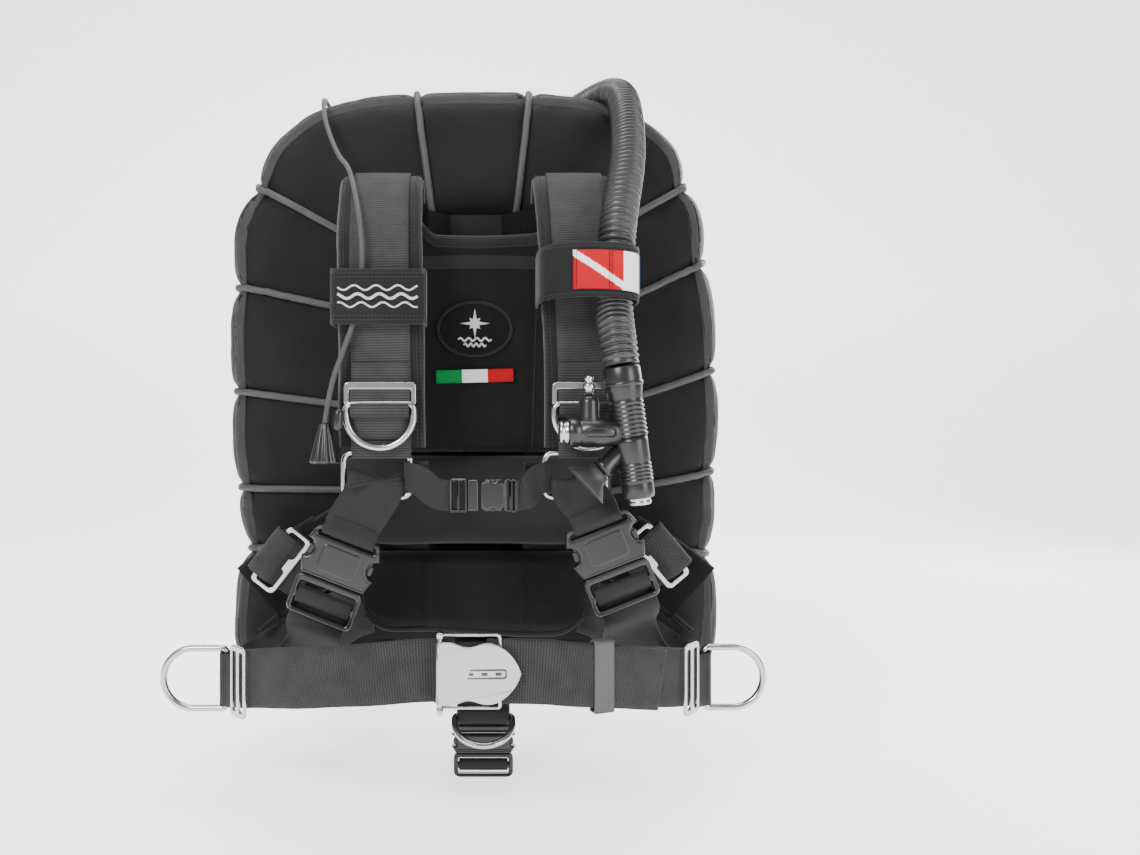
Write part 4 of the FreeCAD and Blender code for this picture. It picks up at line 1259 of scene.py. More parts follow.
# ------------------------------------------------------ quick-release buckles
# Moulded side-squeeze buckles. The socket has a bite on each side where the
# plug's sprung arms stand proud; webbing rolls round the bars at both ends.
def moulded(name, colour, rough, grain=0.1):
    """Glass-filled plastic with a faint moulded texture."""
    material = bpy.data.materials.new(name)
    material.use_nodes = True
    tree = material.node_tree
    shader = tree.nodes["Principled BSDF"]
    shader.inputs["Base Color"].default_value = (*colour, 1)
    place = tree.nodes.new("ShaderNodeTexCoord")
    cloud = tree.nodes.new("ShaderNodeTexNoise")
    cloud.inputs["Scale"].default_value = 1400.0
    cloud.inputs["Detail"].default_value = 2.0
    wide = tree.nodes.new("ShaderNodeTexNoise")
    wide.inputs["Scale"].default_value = 40.0
    span = tree.nodes.new("ShaderNodeMapRange")
    span.inputs["To Min"].default_value = rough * 0.8
    span.inputs["To Max"].default_value = rough * 1.25
    relief = tree.nodes.new("ShaderNodeBump")
    relief.inputs["Strength"].default_value = grain
    relief.inputs["Distance"].default_value = 0.0001
    tree.links.new(place.outputs["Object"], cloud.inputs["Vector"])
    tree.links.new(place.outputs["Object"], wide.inputs["Vector"])
    tree.links.new(wide.outputs["Fac"], span.inputs["Value"])
    tree.links.new(span.outputs["Result"], shader.inputs["Roughness"])
    tree.links.new(cloud.outputs["Fac"], relief.inputs["Height"])
    tree.links.new(relief.outputs["Normal"], shader.inputs["Normal"])
    return material


black_plastic = moulded("black_acetal", (0.0075, 0.0075, 0.0077), 0.3, 0.15)
fine_web = woven("fine_webbing", (0.005, 0.005, 0.0052), (0.014, 0.014, 0.0143), 0.9, 0.8, 0.12, rough=0.6)
TILT = 21.5
BUCKLES = {"left": (-105, -92, 1), "right": (100, -80, -1)}


def socket_outline(wide, long, bite_z, bite):
    """The socket's outline, hanging down from z 0, with a bite in each side."""
    half = wide / 2
    right = [(half - 5, 0), (half - 1.5, -1.5), (half, -5)]
    for k in range(11):
        a = math.radians(90 + 18 * k)
        right.append((half + bite * 0.35 + bite * math.cos(a), bite_z + bite * math.sin(a)))
    right += [(half, -long + 4), (half - 1.2, -long + 1.2), (half - 4, -long)]
    return right + [(-x, z) for x, z in right[::-1]]


def socket_mesh(wide, long, thick, bite_z, bite, slot_z):
    body = flat_shape(
        "socket", socket_outline(wide, long, bite_z, bite), [oblong(wide * 0.86, 4.6, 1.4, 0, slot_z)],
        thick, thick * 0.24, 4
    )
    face = flat_shape(
        "face", oblong(wide * 0.62, long * 0.60, 5, 0, -long * 0.58), [], thick * 1.07, thick * 0.2, 3
    )
    lip = flat_shape("lip", oblong(wide * 0.94, 2.6, 1.2, 0, -long + 1.6), [], thick * 1.06, 1.0, 2)
    return joined("socket", [body, face, lip])


def plug_mesh(wide, top, long, thick, arm_x, arm_z, arm_long):
    """The plug: a frame from z `top` down, and two arms reaching up."""
    frame_part = flat_shape(
        "frame", oblong(wide, long, wide * 0.1, 0, top - long / 2),
        [
            oblong(wide * 0.85, long * 0.27, 2, 0, top - long * 0.34),
            oblong(wide * 0.85, long * 0.27, 2, 0, top - long * 0.74)
        ],
        thick * 0.8, thick * 0.2, 4,
    )
    arms = [
        flat_shape("arm", oblong(wide * 0.11, arm_long, 2.4, s * arm_x, arm_z), [], thick * 0.5, 1.4, 3)
        for s in (-1, 1)
    ]
    bumps = [
        flat_shape(
            "bump", oblong(wide * 0.08, arm_long * 0.42, 2.0, s * (arm_x + wide * 0.05), arm_z), [], thick
            * 0.62, 1.5, 3
        )
        for s in (-1, 1)
    ]
    return joined("plug", [frame_part] + arms + bumps)


def roll(name, z, width, radius, material, flat=0.8):
    """Webbing rolled once round a bar along X."""
    loop = [
        (0, radius * flat * math.cos(a), z + radius * math.sin(a))
        for a in [2 * math.pi * k / 12 for k in range(12)]
    ]
    return strap_mesh(name, loop, width, 1.9, (1, 0, 0), steps=4, closed=True)


for tag, (x, z, s) in BUCKLES.items():
    sock = moved(socket_mesh(58, 42, 12, -21, 8.2, -5.0), x, -104, z, s * TILT)
    add(
        f"buckle_socket_{tag}", sock, black_plastic, "harness", "black_plastic", f"shoulder_socket_{tag}",
        crisp=True
    )
    plug = moved(plug_mesh(58, -42.3, 34, 12, 23.4, -22, 22), x, -104, z, s * TILT)
    add(
        f"buckle_plug_{tag}", plug, black_plastic, f"plug_{tag}", "black_plastic", f"shoulder_plug_{tag}",
        crisp=True
    )
    turn = moved(roll("roll", -60.6, 47.5, 6.4, fine_web), x, -104, z, s * TILT)
    add(f"buckle_roll_{tag}", turn, fine_web, f"plug_{tag}", "webbing")

# ------------------------------------------------------- straps at the buckles
# Short tabs hang from the link rings to the sockets; the lower straps run
# from the plugs down to the hips, where steel sliders take up their slack.
def down(tag, along, y=0.0, side=0.0):
    """A point `along` mm down a shoulder buckle's own axis."""
    x, z, s = BUCKLES[tag]
    a = math.radians(TILT) * s
    return (
        x - math.sin(a) * along + math.cos(a) * side, -104 + y, z - math.cos(a) * along - math.sin(a) * side
    )


def buckle_across(tag):
    a = math.radians(TILT) * BUCKLES[tag][2]
    return (math.cos(a), 0, -math.sin(a))


def between(obj, cad_node):
    """A strap from the harness to a moving body, ends in mm: hides its CAD node and bakes the strap's place
    into its mesh; it rides on no body.
    """
    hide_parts(cad_node)
    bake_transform(obj)


tab_meshes = []
tab_runs = []
for tag, x, wide in (("left", -84, 46), ("right", 84, 42)):
    route = [
        (x, -97.6, -49), (x, -98.6, -45.5), (x, -101, -44), (x, -104.6, -46), (x, -106.4, -54),
        down(tag, -14, -3.6), down(tag, -5, -6.6), down(tag, -1, -8.2), down(tag, 2.4, -7.8),
        down(tag, 4.4, -5), down(tag, 5, -1),
    ]
    tab = strap_mesh(f"tab_{tag}", route, wide, 2.4, buckle_across(tag), steps=6, crown=0.3)
    for v in tab.vertices:
        v.co.y -= 0.0010 * noise.noise(v.co * 60)
    tab_meshes.append(tab)
    tab_runs.append(
        [(p[0], p[1] - 1.6, p[2]) for p in [down(tag, -11.5, -4.6, -19 + 38 * k / 14) for k in range(15)]]
    )
add("tab_pair", tab_meshes, fine_web, "harness", "webbing", "upper_tabs")
stitches("tab_thread", "harness", "webbing", tab_runs, bound_cloth, 2.6, 1.1, 0.4)
ROUTES = {
    "left": [
        down("left", 66, 3.4), down("left", 72, 4.2), down("left", 86, 5), (-141, -80, -192),
        (-158, -62, -212), (-176, -46, -222)
    ],
    "right": [
        down("right", 66, 3.4), down("right", 72, 4.2), down("right", 86, 5), (133, -80, -178),
        (146, -62, -204), (160, -46, -218)
    ],
}
for tag, route in ROUTES.items():
    strap = strap_mesh(f"low_{tag}", route, 49, 2.4, buckle_across(tag), steps=8, crown=0.3)
    low = piece(f"low_webbing_{tag}", strap, fine_web)
    between(low, f"lower_strap_{tag}")
hip_meshes = []
pipe_meshes = []
for s in (-1, 1):
    route = [(s * 134, -22.4, -112), (s * 150, -24.4, -122), (s * 176, -27, -138), (s * 198, -33, -156)]
    hull = [(a * 33, 3.4 * (1 - abs(a) ** 6) ** 0.5) for a in [-1 + k / 8 for k in range(17)]]
    hull += [(-a, -b) for a, b in hull[1:-1]]
    hip_meshes.append(strap_mesh("hip", route, 66, 6, (0, 0, 1), steps=8, outline=hull))
    line = smooth_path(route, 6)
    for edge in (-33, 33):
        pipe_meshes.append(
            tube_along("pipe", [(p + Vector((0, -0.6, edge))) * MM for p in line], 2.3 * MM, 8)
        )
hip_obj = piece("hip_pads", joined("hip_pads", hip_meshes), pad_cloth)
settle(hip_obj, "harness", "padded_cloth", "hip_panels")
add("hip_piping", pipe_meshes, bound_cloth, "harness", "padded_cloth")
loops = []
for x, z, tilt, s in ((-176, -122, 38, -1), (165, -118, -40, 1)):
    bend = [
        (-s * 30, 9), (-s * 16, 3.4), (-s * 6, 0.2), (0, -3.6), (s * 8, -4.2), (s * 17, -2.6), (s * 20, 3),
        (s * 15, 7), (s * 4, 7.4), (-s * 12, 10)
    ]
    strap = strap_mesh("hip_loop", [(px, py, 0) for px, py in bend], 46, 2.2, (0, 0, 1), steps=6, crown=0.2)
    loops.append(moved(strap, x, -46, z, tilt))
add("hip_webbing", loops, webbing, "harness", "webbing")

# ------------------------------------------------------------------ waist belt
# 50 mm webbing leaves the plate, turns forward at the hips round a D-ring and
# closes in front. Its free end doubles back to the left through a keeper.
BELTS = {
    "left": [
        (-100, -22.4, -168), (-118, -22.2, -174), (-140, -22.4, -188), (-166, -22.6, -203),
        (-188, -23.4, -215), (-204, -31, -223), (-214, -46, -227), (-210, -68, -223), (-184, -97, -214),
        (-140, -123, -206), (-90, -140, -199), (-50, -146, -194), (-16, -147, -193),
    ],
    "right": [
        (100, -22.4, -168), (116, -22.2, -174), (136, -22.4, -188), (158, -22.6, -204), (176, -23.6, -216),
        (189, -31, -223), (196, -47, -226), (190, -70, -220), (166, -98, -213), (128, -123, -205),
        (84, -140, -198), (50, -146, -194), (8, -147, -193),
    ],
}
belt_weave = woven("belt_webbing", (0.002, 0.002, 0.0021), (0.033, 0.033, 0.034), 2.2, 2.4, 0.5)
for tag, x, z, s in (("left", -216, -228, -1), ("right", 197, -227, 1)):
    belt = strap_mesh(f"belt_{tag}", BELTS[tag], 50, 2.6, (0, 0, 1), steps=10, crown=0.15)
    turn = [
        (x - s * 5, -31, z), (x + s * 0.4, -36, z), (x + s * 6, -40.4, z), (x + s * 11.6, -43, z),
        (x + s * 13.8, -48, z), (x + s * 11.6, -53, z), (x + s * 6, -55.6, z), (x + s * 0.4, -60.4, z),
        (x - s * 3, -66, z),
    ]
    arch = strap_mesh(f"arch_{tag}", turn, 47, 1.8, (0, 0, 1), steps=6)
    for mesh in (belt, arch):
        for v in mesh.vertices:
            v.co.z += 0.0008 * noise.noise(v.co * 22)
    add(f"belt_{tag}", [belt, arch], belt_weave, "harness", "webbing", f"waist_belt_{tag}")
tail = [(p[0] * 1.005, p[1] - 2.9, p[2] - 0.5) for p in BELTS["right"][8:]]
tail = [(154, -109.5, -211.6)] + tail[1:]
tail_mesh = strap_mesh("tail", tail, 50.5, 2.4, (0, 0, 1), steps=10, crown=0.15)
for v in tail_mesh.vertices:
    v.co.z += 0.0006 * noise.noise(v.co * 25 + Vector((3, 0, 0)))
add("belt_free_end", tail_mesh, belt_weave, "harness", "webbing")

# --------------------------------------------------------------- belt buckle
# A stamped steel cam buckle: a rectangular frame, and a bullet-shaped lever
# with a satin face and a plain engraved bar.
frame_mesh = flat_shape("frame", oblong(50, 59, 3), [oblong(45, 54.8, 2)], 2.6, 0.8, 3)
lugs = [flat_shape("lug", oblong(5, 4.5, 1.2, -23, s * 29.7), [], 12, 1.0, 2) for s in (-1, 1)]
for lug in lugs:
    lug.transform(Matrix.Translation((0, -3 * MM, 0)))
pin = tube_along("pin", [Vector((-23 * MM, -5.2 * MM, z * MM)) for z in (-31.5, -10, 10, 31.5)], 1.5 * MM, 14)
frame_mesh = moved(joined("frame", [frame_mesh] + lugs + [pin]), -5, -151.2, -193)
add("belt_frame", frame_mesh, polished, "harness", "steel", "belt_buckle_frame", crisp=True)
HALF_LEVER = [
    (-1, 24.6, 0), (6, 24.6, 0), (11, 24, 0), (16, 22.2, 0), (21, 20.8, 0), (26, 21.2, 0), (31, 22.8, 0),
    (36, 23.8, 0), (42, 23.2, 0), (48, 20.6, 0), (53.4, 16.4, 0), (58.4, 10.6, 0), (61.6, 5, 0),
]
half_lever = smooth_path(HALF_LEVER, 4)
lever_loop = [(p.x, p.y) for p in half_lever] + [(63.2, 0)] + [(p.x, -p.y) for p in half_lever[::-1]]
lever = flat_shape("lever", lever_loop, [], 2.6, 0.9, 3)
lever.transform(Matrix.Translation((0, -1.9 * MM, 0)))
for v in lever.vertices:
    v.co.y += 0.0016 * max(0, v.co.x / 0.063) ** 2 - 0.0004
barrel = tube_along("barrel", [Vector((0, 0, z * MM)) for z in (-24, -8, 8, 24)], 3.2 * MM, 20)
satin_face = metal("satin_lever", (0.42, 0.42, 0.415), 0.32, 0.35)
lever_mesh = moved(joined("lever", [lever, barrel]), -28, -156.4, -193)
add("belt_lever", lever_mesh, satin_face, "belt_lever", "steel", "belt_buckle_lever", crisp=True)
# Painted shade: the engraved bar and dashes are thin raised plates in dark steel, the dark standing in for
# the shade inside the engraved grooves.
engraving_shade = metal("engraving_painted_shade", (0.08, 0.08, 0.08), 0.5)
bars = [flat_shape("bar", oblong(46, 7.6, 2), [oblong(43.6, 5.2, 1.4)], 0.5, 0.15, 1)]
bars += [flat_shape("dash", oblong(5.0, 2.2, 0.8, -16.5 + 11 * k, 0), [], 0.5, 0.15, 1) for k in range(4)]
marks_mesh = moved(joined("lever_marks", bars), 1, -159.35, -193)
add("lever_engraving", marks_mesh, engraving_shade, "belt_lever", "steel")

rubber_rib = moulded("keeper_rubber", (0.05, 0.05, 0.051), 0.6, 0.1)
keep_loop = [(0, y, z) for y, z in oblong(8.0, 56.4, 3.4, n=3)]
keeper = moved(
    strap_mesh("keeper", keep_loop, 18, 1.7, (1, 0, 0), steps=3, closed=True), 101, -135.0, -200.6, 21, "Z"
)
add("keeper_band", keeper, rubber_rib, "harness", "rubber_band", "belt_keeper")

# ----------------------------------------------------------------- chest strap
# 25 mm webbing looped through the link rings, with a small side-release
# buckle whose ladder bars stand at both ends.
LEFT_STRAP = [
    (-40, -99, -43), (-47, -96.6, -43), (-53, -95.6, -43), (-58.0, -98, -43), (-59.2, -103.5, -43),
    (-56, -107.6, -43.5), (-46, -110.6, -47), (-34, -114, -56), (-24, -115.4, -58), (-19, -115.4, -58),
]
RIGHT_STRAP = [
    (41, -99, -43), (48, -96.6, -43), (55, -95.6, -43), (60.6, -98, -43), (61.8, -103.5, -43),
    (58, -107.6, -43.5), (50, -110.6, -47), (43, -114, -56), (34, -115.4, -58), (30, -115.4, -58),
]
left_chest = piece("chest_webbing_left", strap_mesh("cl", LEFT_STRAP, 25, 1.8, (0, 0, 1), steps=8), fine_web)
between(left_chest, "chest_strap_left")
add(
    "chest_webbing_right", strap_mesh("cr", RIGHT_STRAP, 25, 1.8, (0, 0, 1), steps=8), fine_web, "harness",
    "webbing", "chest_strap_right"
)


def ladder(wide, long, top, thick):
    """A ladder end: two bars in a frame, hanging down from z `top`."""
    holes = [oblong(wide * 0.82, long * 0.26, 1, 0, top - long * p) for p in (0.30, 0.70)]
    return flat_shape("ladder", oblong(wide, long, 2.2, 0, top - long / 2), holes, thick, thick * 0.25, 3)


body_loop = socket_outline(24.5, 21, -10.5, 2.2)
chest_body = flat_shape("body", body_loop, [], 8.6, 2.4, 4)
chest_body.transform(Matrix.Translation((0, 0, -9.6 * MM)))
chest_sock = moved(joined("cs", [ladder(28, 10.5, 0, 8.6), chest_body]), 34, -114.6, -58, 90)
add("chest_socket", chest_sock, black_plastic, "harness", "black_plastic", "chest_buckle_socket", crisp=True)
chest_arms = [flat_shape("arm", oblong(3.0, 15, 1.4, s * 11.6, -20), [], 5.0, 1.2, 3) for s in (-1, 1)]
chest_plug = moved(
    joined(
        "cp", [ladder(28, 15, -41, 8.2), flat_shape("neck", oblong(26, 10, 2, 0, -36.5), [], 7.6, 2, 3)]
        + chest_arms
    ),
    34, -114.6, -58, 90
)
add("chest_plug", chest_plug, black_plastic, "chest_plug", "black_plastic", "chest_buckle_plug", crisp=True)

# ---------------------------------------------------------------- crotch strap
# It hangs from the plate's lowest slot, carries one D-ring and ends in the
# upper half of a flat buckle.
crotch = strap_mesh(
    "crotch",
    [(7, -6.5, -204), (7, -7.5, -225), (7, -9, -248), (7, -10, -272), (7, -10.6, -283), (7, -12, -288)], 50,
    2.4, steps=6
)
crotch_turn = [
    (7, -11.4, -258), (7, -13, -263), (7, -17, -265.4), (7, -20.8, -268), (7, -21.8, -272),
    (7, -20.8, -276), (7, -17, -278.6), (7, -13.6, -281), (7, -13.4, -286), (7, -11, -289),
]
crotch_mesh = joined("crotch", [crotch, strap_mesh("ct", crotch_turn, 47, 1.8, steps=6)])
add("crotch_webbing", crotch_mesh, fine_web, "harness", "webbing", "crotch_strap")
crotch_ring = wire_mesh("ring", 27, 9, 3)
crotch_ring.transform(
    Matrix.Translation((0.007, -0.0162, -0.272)) @ Matrix.Rotation(math.radians(-62), 4, "X")
)
add("crotch_ring", crotch_ring, polished, "crotch_ring", "steel", "crotch_dring")
crotch_sock = moved(socket_mesh(56, 24.4, 11, -13.5, 5.5, -4.2), 7, -11, -283.4)
add(
    "crotch_socket", crotch_sock, black_plastic, "harness", "black_plastic", "crotch_buckle_socket",
    crisp=True
)
crotch_plug = moved(plug_mesh(56, -24.4, 23, 11, 23.2, -14, 14), 7, -11, -283.4)
add(
    "crotch_plug", crotch_plug, black_plastic, "crotch_plug", "black_plastic", "crotch_buckle_plug",
    crisp=True
)
add(
    "crotch_roll", moved(roll("roll", -38.2, 46, 4.6, fine_web), 7, -11, -281.4), fine_web, "crotch_plug",
    "webbing"
)

# ------------------------------------------------------------ elbows and hoses
# Moulded elbows clamp to the bladders. Corrugated rubber hose with smooth cuffs
# runs over the shoulder to the inflator, and down the back to the spare one.
def lathe(name, profile, start, along, sides=48, flute=0.0, count=0):
    """A turned part: (radius, height) pairs in mm about an axis."""
    mesh_bm = bmesh.new()
    axis = Vector(along).normalized()
    side = axis.orthogonal().normalized()
    other = axis.cross(side)
    rings = []
    for r, h in profile:
        ring = []
        for k in range(sides):
            a = 2 * math.pi * k / sides
            size = r * (1 + flute * math.cos(a * count) * min(1, r / 6)) if count else r
            p = Vector(start) + axis * h + side * math.cos(a) * size + other * math.sin(a) * size
            ring.append(mesh_bm.verts.new(p * MM))
        rings.append(ring)
    for a, b in zip(rings, rings[1:]):
        for k in range(sides):
            n = (k + 1) % sides
            mesh_bm.faces.new((a[k], a[n], b[n], b[k]))
    mesh_bm.faces.new(rings[0][::-1])
    mesh_bm.faces.new(rings[-1])
    return mesh_of(name, mesh_bm)


hose_rubber = moulded("hose_epdm", (0.017, 0.017, 0.0173), 0.36, 0.15)
elbow_parts = []
for x, z, up in ((58, 236, 1), (-46, 262, -1)):
    disc = [(6, 0), (28, 0), (29, 1.5), (29, 4), (28, 5.6), (24, 6), (23, 7.4), (18, 7.8), (17, 10), (17, 22)]
    elbow_parts.append(lathe("disc", disc, (x, 150.4, z), (0, 1, 0), 56))
    bend = []
    for k in range(13):
        a = math.radians(90 * k / 12)
        bend.append(Vector((x * MM, (166 + 8 * math.sin(a)) * MM, (z + up * (8 - 8 * math.cos(a))) * MM)))
    bend = [Vector((x * MM, 158 * MM, z * MM))] + bend + [Vector((x * MM, 174 * MM, (z + up * 29.6) * MM))]
    elbow_parts.append(tube_along("bend", bend, 17 * MM, 32))
    elbow_parts.append(
        lathe(
            "ball",
            [(17 * math.sin(math.radians(t)), -17 * math.cos(math.radians(t))) for t in range(8, 180, 8)],
            (x, 173.5, z), (0, 0, 1), 32
        )
    )
    collar = [(17, 0), (18, 0.8), (18, 6), (17, 7)]
    elbow_parts.append(lathe("collar", collar, (x, 174, z + up * 22), (0, 0, up), 40))
add("elbow_pair", elbow_parts, black_plastic, "harness", "black_plastic", "elbows")


def spline_path(name, route, resolution=40):
    """The route in mm as a NURBS curve, and its points read back in metres."""
    curve = bpy.data.curves.new(name, "CURVE")
    curve.dimensions = "3D"
    line = curve.splines.new("NURBS")
    line.points.add(len(route) - 1)
    for point, (x, y, z) in zip(line.points, route):
        point.co = (x * MM, y * MM, z * MM, 1)
    line.order_u = 3
    line.use_endpoint_u = True
    line.resolution_u = resolution
    source = bpy.data.objects.new(name + "_run", curve)
    bpy.context.scene.collection.objects.link(source)
    mesh = source.evaluated_get(bpy.context.evaluated_depsgraph_get()).to_mesh()
    points = [v.co.copy() for v in mesh.vertices]
    bpy.data.objects.remove(source)
    return points


def even(points, gap):
    """The same path with points every `gap` metres."""
    out = [points[0]]
    left = gap
    for a, b in zip(points, points[1:]):
        span = (b - a).length
        run = left
        while run < span:
            out.append(a.lerp(b, run / span))
            run += gap
        left = run - span
    if (out[-1] - points[-1]).length > gap * 0.3:
        out.append(points[-1])
    return out


def length_of(points):
    return sum((b - a).length for a, b in zip(points, points[1:]))


def ribbed(total, first, last, pitch=5.4, crest=15.5, root=12.0, cuff=14.6):
    """The hose radius by distance: smooth cuffs, corrugations between."""
    def radius(far):
        s = far / MM
        if s < first or s > total / MM - last:
            return cuff * MM
        wave = 0.5 + 0.5 * math.cos(2 * math.pi * (s - first) / pitch)
        fade = min(1, (s - first) / 4, (total / MM - last - s) / 4)
        return (cuff + fade * (root + (crest - root) * wave ** 0.5 - cuff)) * MM
    return radius


HOSE_Y = -122.4
MAIN_HOSE = [
    (58, 174, 266.4), (58, 174, 300), (94, 138, 338), (128, 76, 342), (141, 16, 324), (139.4, -30, 284),
    (132, -77.4, 229), (120, -108, 182), (114, HOSE_Y, 144), (112.4, HOSE_Y, 104.4),
]
main_path = even(spline_path("main_hose", MAIN_HOSE), 0.8 * MM)
main_long = length_of(main_path)
main_hose = piece("shoulder_hose", tube_along("sh", main_path, ribbed(main_long, 92, 2), 44), hose_rubber)
settle(main_hose, "harness", "hose_rubber", "inflator_hose")
LOWER_HOSE = [(112.4, HOSE_Y, 104), (112.4, HOSE_Y, 92), (113, -138.4, 65), (115.28, -140, 47.6)]
low_path = even(spline_path("low_hose", LOWER_HOSE), 0.7 * MM)
low_hose = piece(
    "inflator_hose_end", tube_along("lh", low_path, ribbed(length_of(low_path), 0, 2), 44), hose_rubber
)
between(low_hose, "inflator_hose_lower")
BACKUP_HOSE = [
    (-46, 174, 231.6), (-46, 174, 190), (-42, 167, 90), (-40, 167, -40), (-40, 166, -150),
    (-39.1, 150.8, -211),
]
spare_path = even(spline_path("spare_hose", BACKUP_HOSE), 0.9 * MM)
spare_long = length_of(spare_path)
spare_hose = piece("spare_hose", tube_along("sp", spare_path, ribbed(spare_long, 22, 22), 36), hose_rubber)
settle(spare_hose, "harness", "hose_rubber", "backup_hose")
tail_low = Vector((-38, 24, -268))
tail_run = (tail_low - Vector((-38.6, 142, -226))).normalized()
spare = [
    lathe(
        "body",
        [
            (9, -3), (12.3, -2), (12.6, 8), (12.6, 30), (11.4, 33), (11.4, 60), (12.6, 63), (12.6, 112),
            (11.6, 118), (8.6, 121), (7, 124.4), (5.5, 121), (4, 117)
        ],
        (-38.6, 142, -226), tail_run, 40
    ),
    lathe(
        "joint",
        [(15.2 * math.sin(math.radians(t)), -15.2 * math.cos(math.radians(t))) for t in range(8, 180, 8)],
        (-38.6, 143, -226), (0, 0, 1), 32
    ),
]
add("spare_mouthpiece", spare, black_plastic, "harness", "black_plastic", "backup_inflator")
valve_profile = [
    (6, 0), (26, 0), (27, 1.2), (27, 6.5), (25.5, 8.6), (20, 9), (19, 10), (19, 14.4), (17.4, 16),
    (9, 16.2), (8, 15.4), (2, 15.3)
]
valve = lathe("dump_cap", valve_profile, (-128, 150.4, 244), (0, 1, 0), 72, 0.012, 18)
add("dump_cap", valve, black_plastic, "harness", "black_plastic", "dump_valve")

# ---------------------------------------------------------------- dump cord
# A braided cord comes over the wing from the valve, down under the strap band,
# and ends in a fluted bell knob. A small toggle hangs beside it.
CORD = [
    (-134, 162.6, 269), (-140, 158, 292), (-148, 124, 322), (-152, 76, 331), (-150, 20, 322),
    (-142, -10, 284), (-126, -34, 246), (-112, -64, 228), (-102, -92, 196), (-95, -109, 160),
    (-94, -110.8, 128), (-99, -110.8, 92), (-110, -113, 60), (-120, -114, 34), (-124.6, -114, 1.4),
]
cord_braid = woven("cord_braid", (0.022, 0.022, 0.0225), (0.070, 0.070, 0.071), 1.2, 0.9, 0.08, rough=0.5)
cord_path = even(spline_path("dump_cord", CORD), 1.6 * MM)
cord_mesh = tube_along("dc", cord_path, 2.2 * MM, 12)
braid_uv(cord_mesh, 2.2)
dump_cord = piece("dump_cord", cord_mesh, cord_braid)
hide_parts("pull_cord")
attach(dump_cord, "harness")
bell = [
    (1, 1), (3.6, 1), (4.4, 0), (5.2, -4), (7.4, -11), (9.4, -20), (11.6, -28.6), (11.8, -30.6),
    (10.6, -32), (9.4, -31), (7, -26), (1, -25)
]
knob = lathe("bell_knob", bell[::-1], (-124.8, -114, 0), (0, 0, 1), 72, 0.07, 9)
knob_obj = piece("bell_knob", knob, black_plastic)
settle(knob_obj, "dump_knob", "black_plastic", "pull_knob")
toggle = lathe(
    "cord_toggle", [(1, 8), (3.4, 7.6), (4.2, 5), (4.2, -7), (3.4, -9.6), (1, -10)], (-113.4, -116.4, 5),
    (0.1, 0, 1), 24
)
add("cord_toggle", toggle, black_plastic, "harness", "black_plastic")

# ------------------------------------------------------------------- inflator
# The hand unit: a ribbed tube with a side arm for the air button, a tower with
# the quick-connect nipple, and a flared oral mouthpiece below it.
TOP = Vector((115.5, -140, 45.8))
LOW = Vector((130, -140, -58))
RUN = (LOW - TOP).normalized()


def ridges(low, high, base, lift, pitch):
    """Profile points for a run of small rounded ridges."""
    out = []
    h = low
    while h < high:
        out += [
            (base, h), (base + lift, h + pitch * 0.3), (base + lift, h + pitch * 0.6),
            (base, h + pitch * 0.95)
        ]
        h += pitch
    return out


tube_profile = [
    (8, -0.5), (14.0, -0.5), (14.9, 1), (14.9, 15), (14.4, 19), (13.4, 25)
] + ridges(27, 54, 12.8, 1.1, 3.6)
tube_profile += [(13.2, 55.4), (13.0, 60), (12.9, 74), (12.5, 76)] + ridges(77, 92, 12.3, 1.0, 3.0)
tube_profile += [(12.7, 93.4), (12.7, 101.5), (11.8, 104.4), (10.2, 104.8), (9.8, 104.2), (9.8, 98), (2, 98)]
inflator_parts = [lathe("tube", tube_profile, TOP, RUN, 56)]
arm_profile = [
    (9.8, -2), (10.6, -2.6), (11.6, -1.6), (11.8, 1), (11.8, 5), (11.0, 6), (11.0, 8), (11.9, 9),
    (11.9, 26), (11.2, 28), (11.2, 46)
]
inflator_parts.append(lathe("arm", arm_profile, (76, -140, -6), (1, 0, 0), 48))
tower = [(8.6, 0), (8.6, 12), (8.0, 14), (8.0, 24), (7.0, 27.6), (4, 28.8)]
inflator_parts.append(lathe("tower", tower, (90, -140, -6), (0, 0, 1), 40))
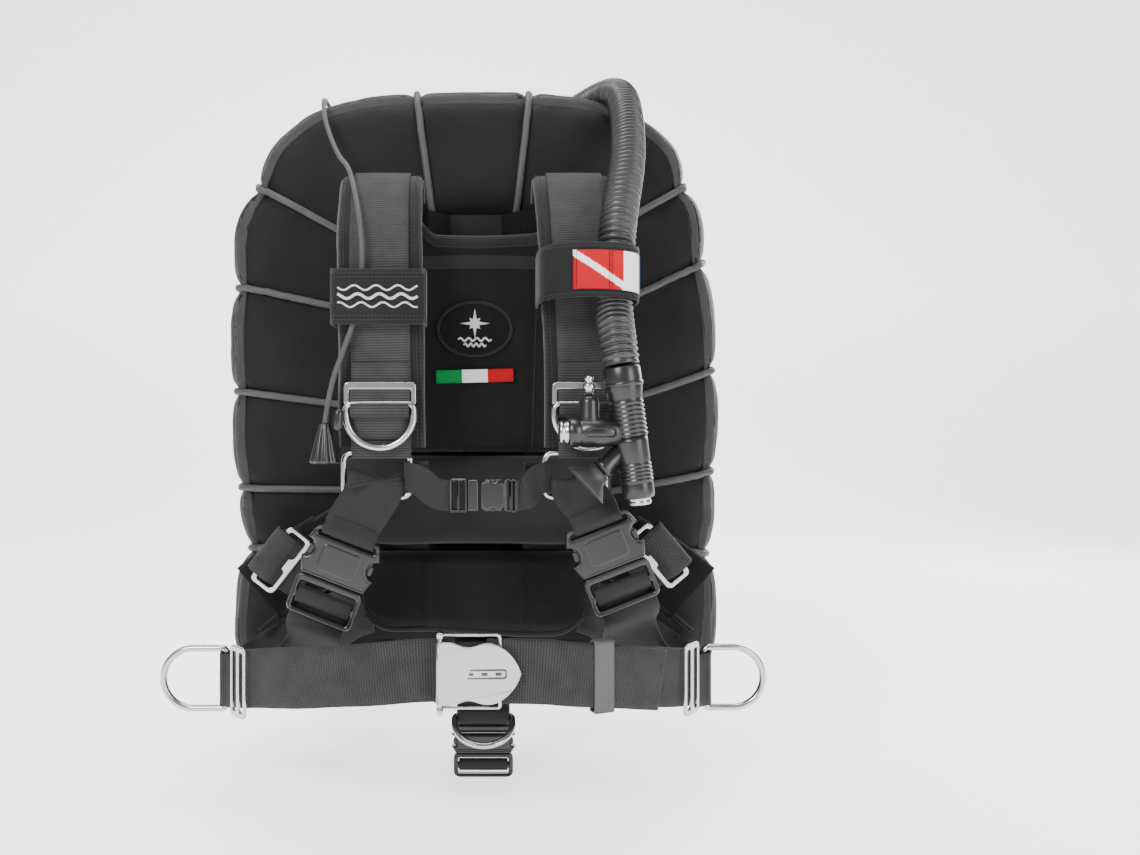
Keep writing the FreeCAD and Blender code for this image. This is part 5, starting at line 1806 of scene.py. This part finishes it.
inflator_parts.append(
    lathe("stub", [(7.6, 0), (7.6, 28), (8.8, 30), (8.8, 34)], (125, -140, -13), (-0.736, 0, -0.677), 36)
)
loop = [Vector(((98 + px) * MM, -151.6 * MM, (-6 + pz) * MM)) for px, pz in oblong(24, 7, 2.6)]
inflator_parts.append(tube_along("panel", loop, 0.6 * MM, 6, closed=True))
tie = lathe("tie", [(14.6, 11.6), (15.7, 11.9), (15.7, 15.2), (14.6, 15.5)], TOP, RUN, 40)
inflator_parts.append(tie)
add("inflator_unit", inflator_parts, black_plastic, "inflator", "black_plastic", "inflator_body")
press = lathe(
    "air_button", [(3, 0), (8.2, 0), (9.2, 0.8), (9.3, 3), (8.6, 3.6), (8.6, 5), (9.3, 5.6), (9.3, 9)],
    (66, -140, -6), (1, 0, 0), 48
)
add("air_button", press, polished, "inflate_press", "steel", "inflate_button")
end_at = TOP + RUN * 101.8
vent = lathe(
    "vent_button",
    [(9.3, 0), (9.3, 3.4), (8.7, 4), (8.7, 5.2), (9.2, 5.8), (9.2, 7.4), (8.2, 8.4), (2, 8.5)], end_at, RUN,
    48
)
add("vent_button", vent, polished, "deflate_press", "steel", "deflate_button")
nipple = [
    (2, 0), (3.6, 0), (3.6, 5), (5, 6), (5, 9.4), (3.2, 10.4), (3.0, 12.4), (3.8, 13.2), (3.8, 15.2),
    (2.6, 16), (1, 16)
]
add(
    "air_nipple", lathe("air_nipple", nipple, (90, -140, 23), (0, 0, 1), 36), polished, "inflator", "steel",
    "lp_nipple"
)
skirt = [
    (4.2, 1.5), (8.6, 0.6), (9.0, 3), (9.6, 6), (12.2, 9), (16.4, 13), (19.6, 16.2), (20.0, 17),
    (19.0, 17.2), (16.0, 14.4), (11.4, 10), (7, 6), (4.2, 4)
]
soft_rubber = moulded("soft_rubber", (0.020, 0.020, 0.0205), 0.5, 0.2)
add(
    "oral_mouthpiece", lathe("oral_mouthpiece", skirt, (99.4, -140, -36.55), (-0.736, 0, -0.677), 48),
    soft_rubber, "inflator", "soft_rubber", "mouthpiece"
)
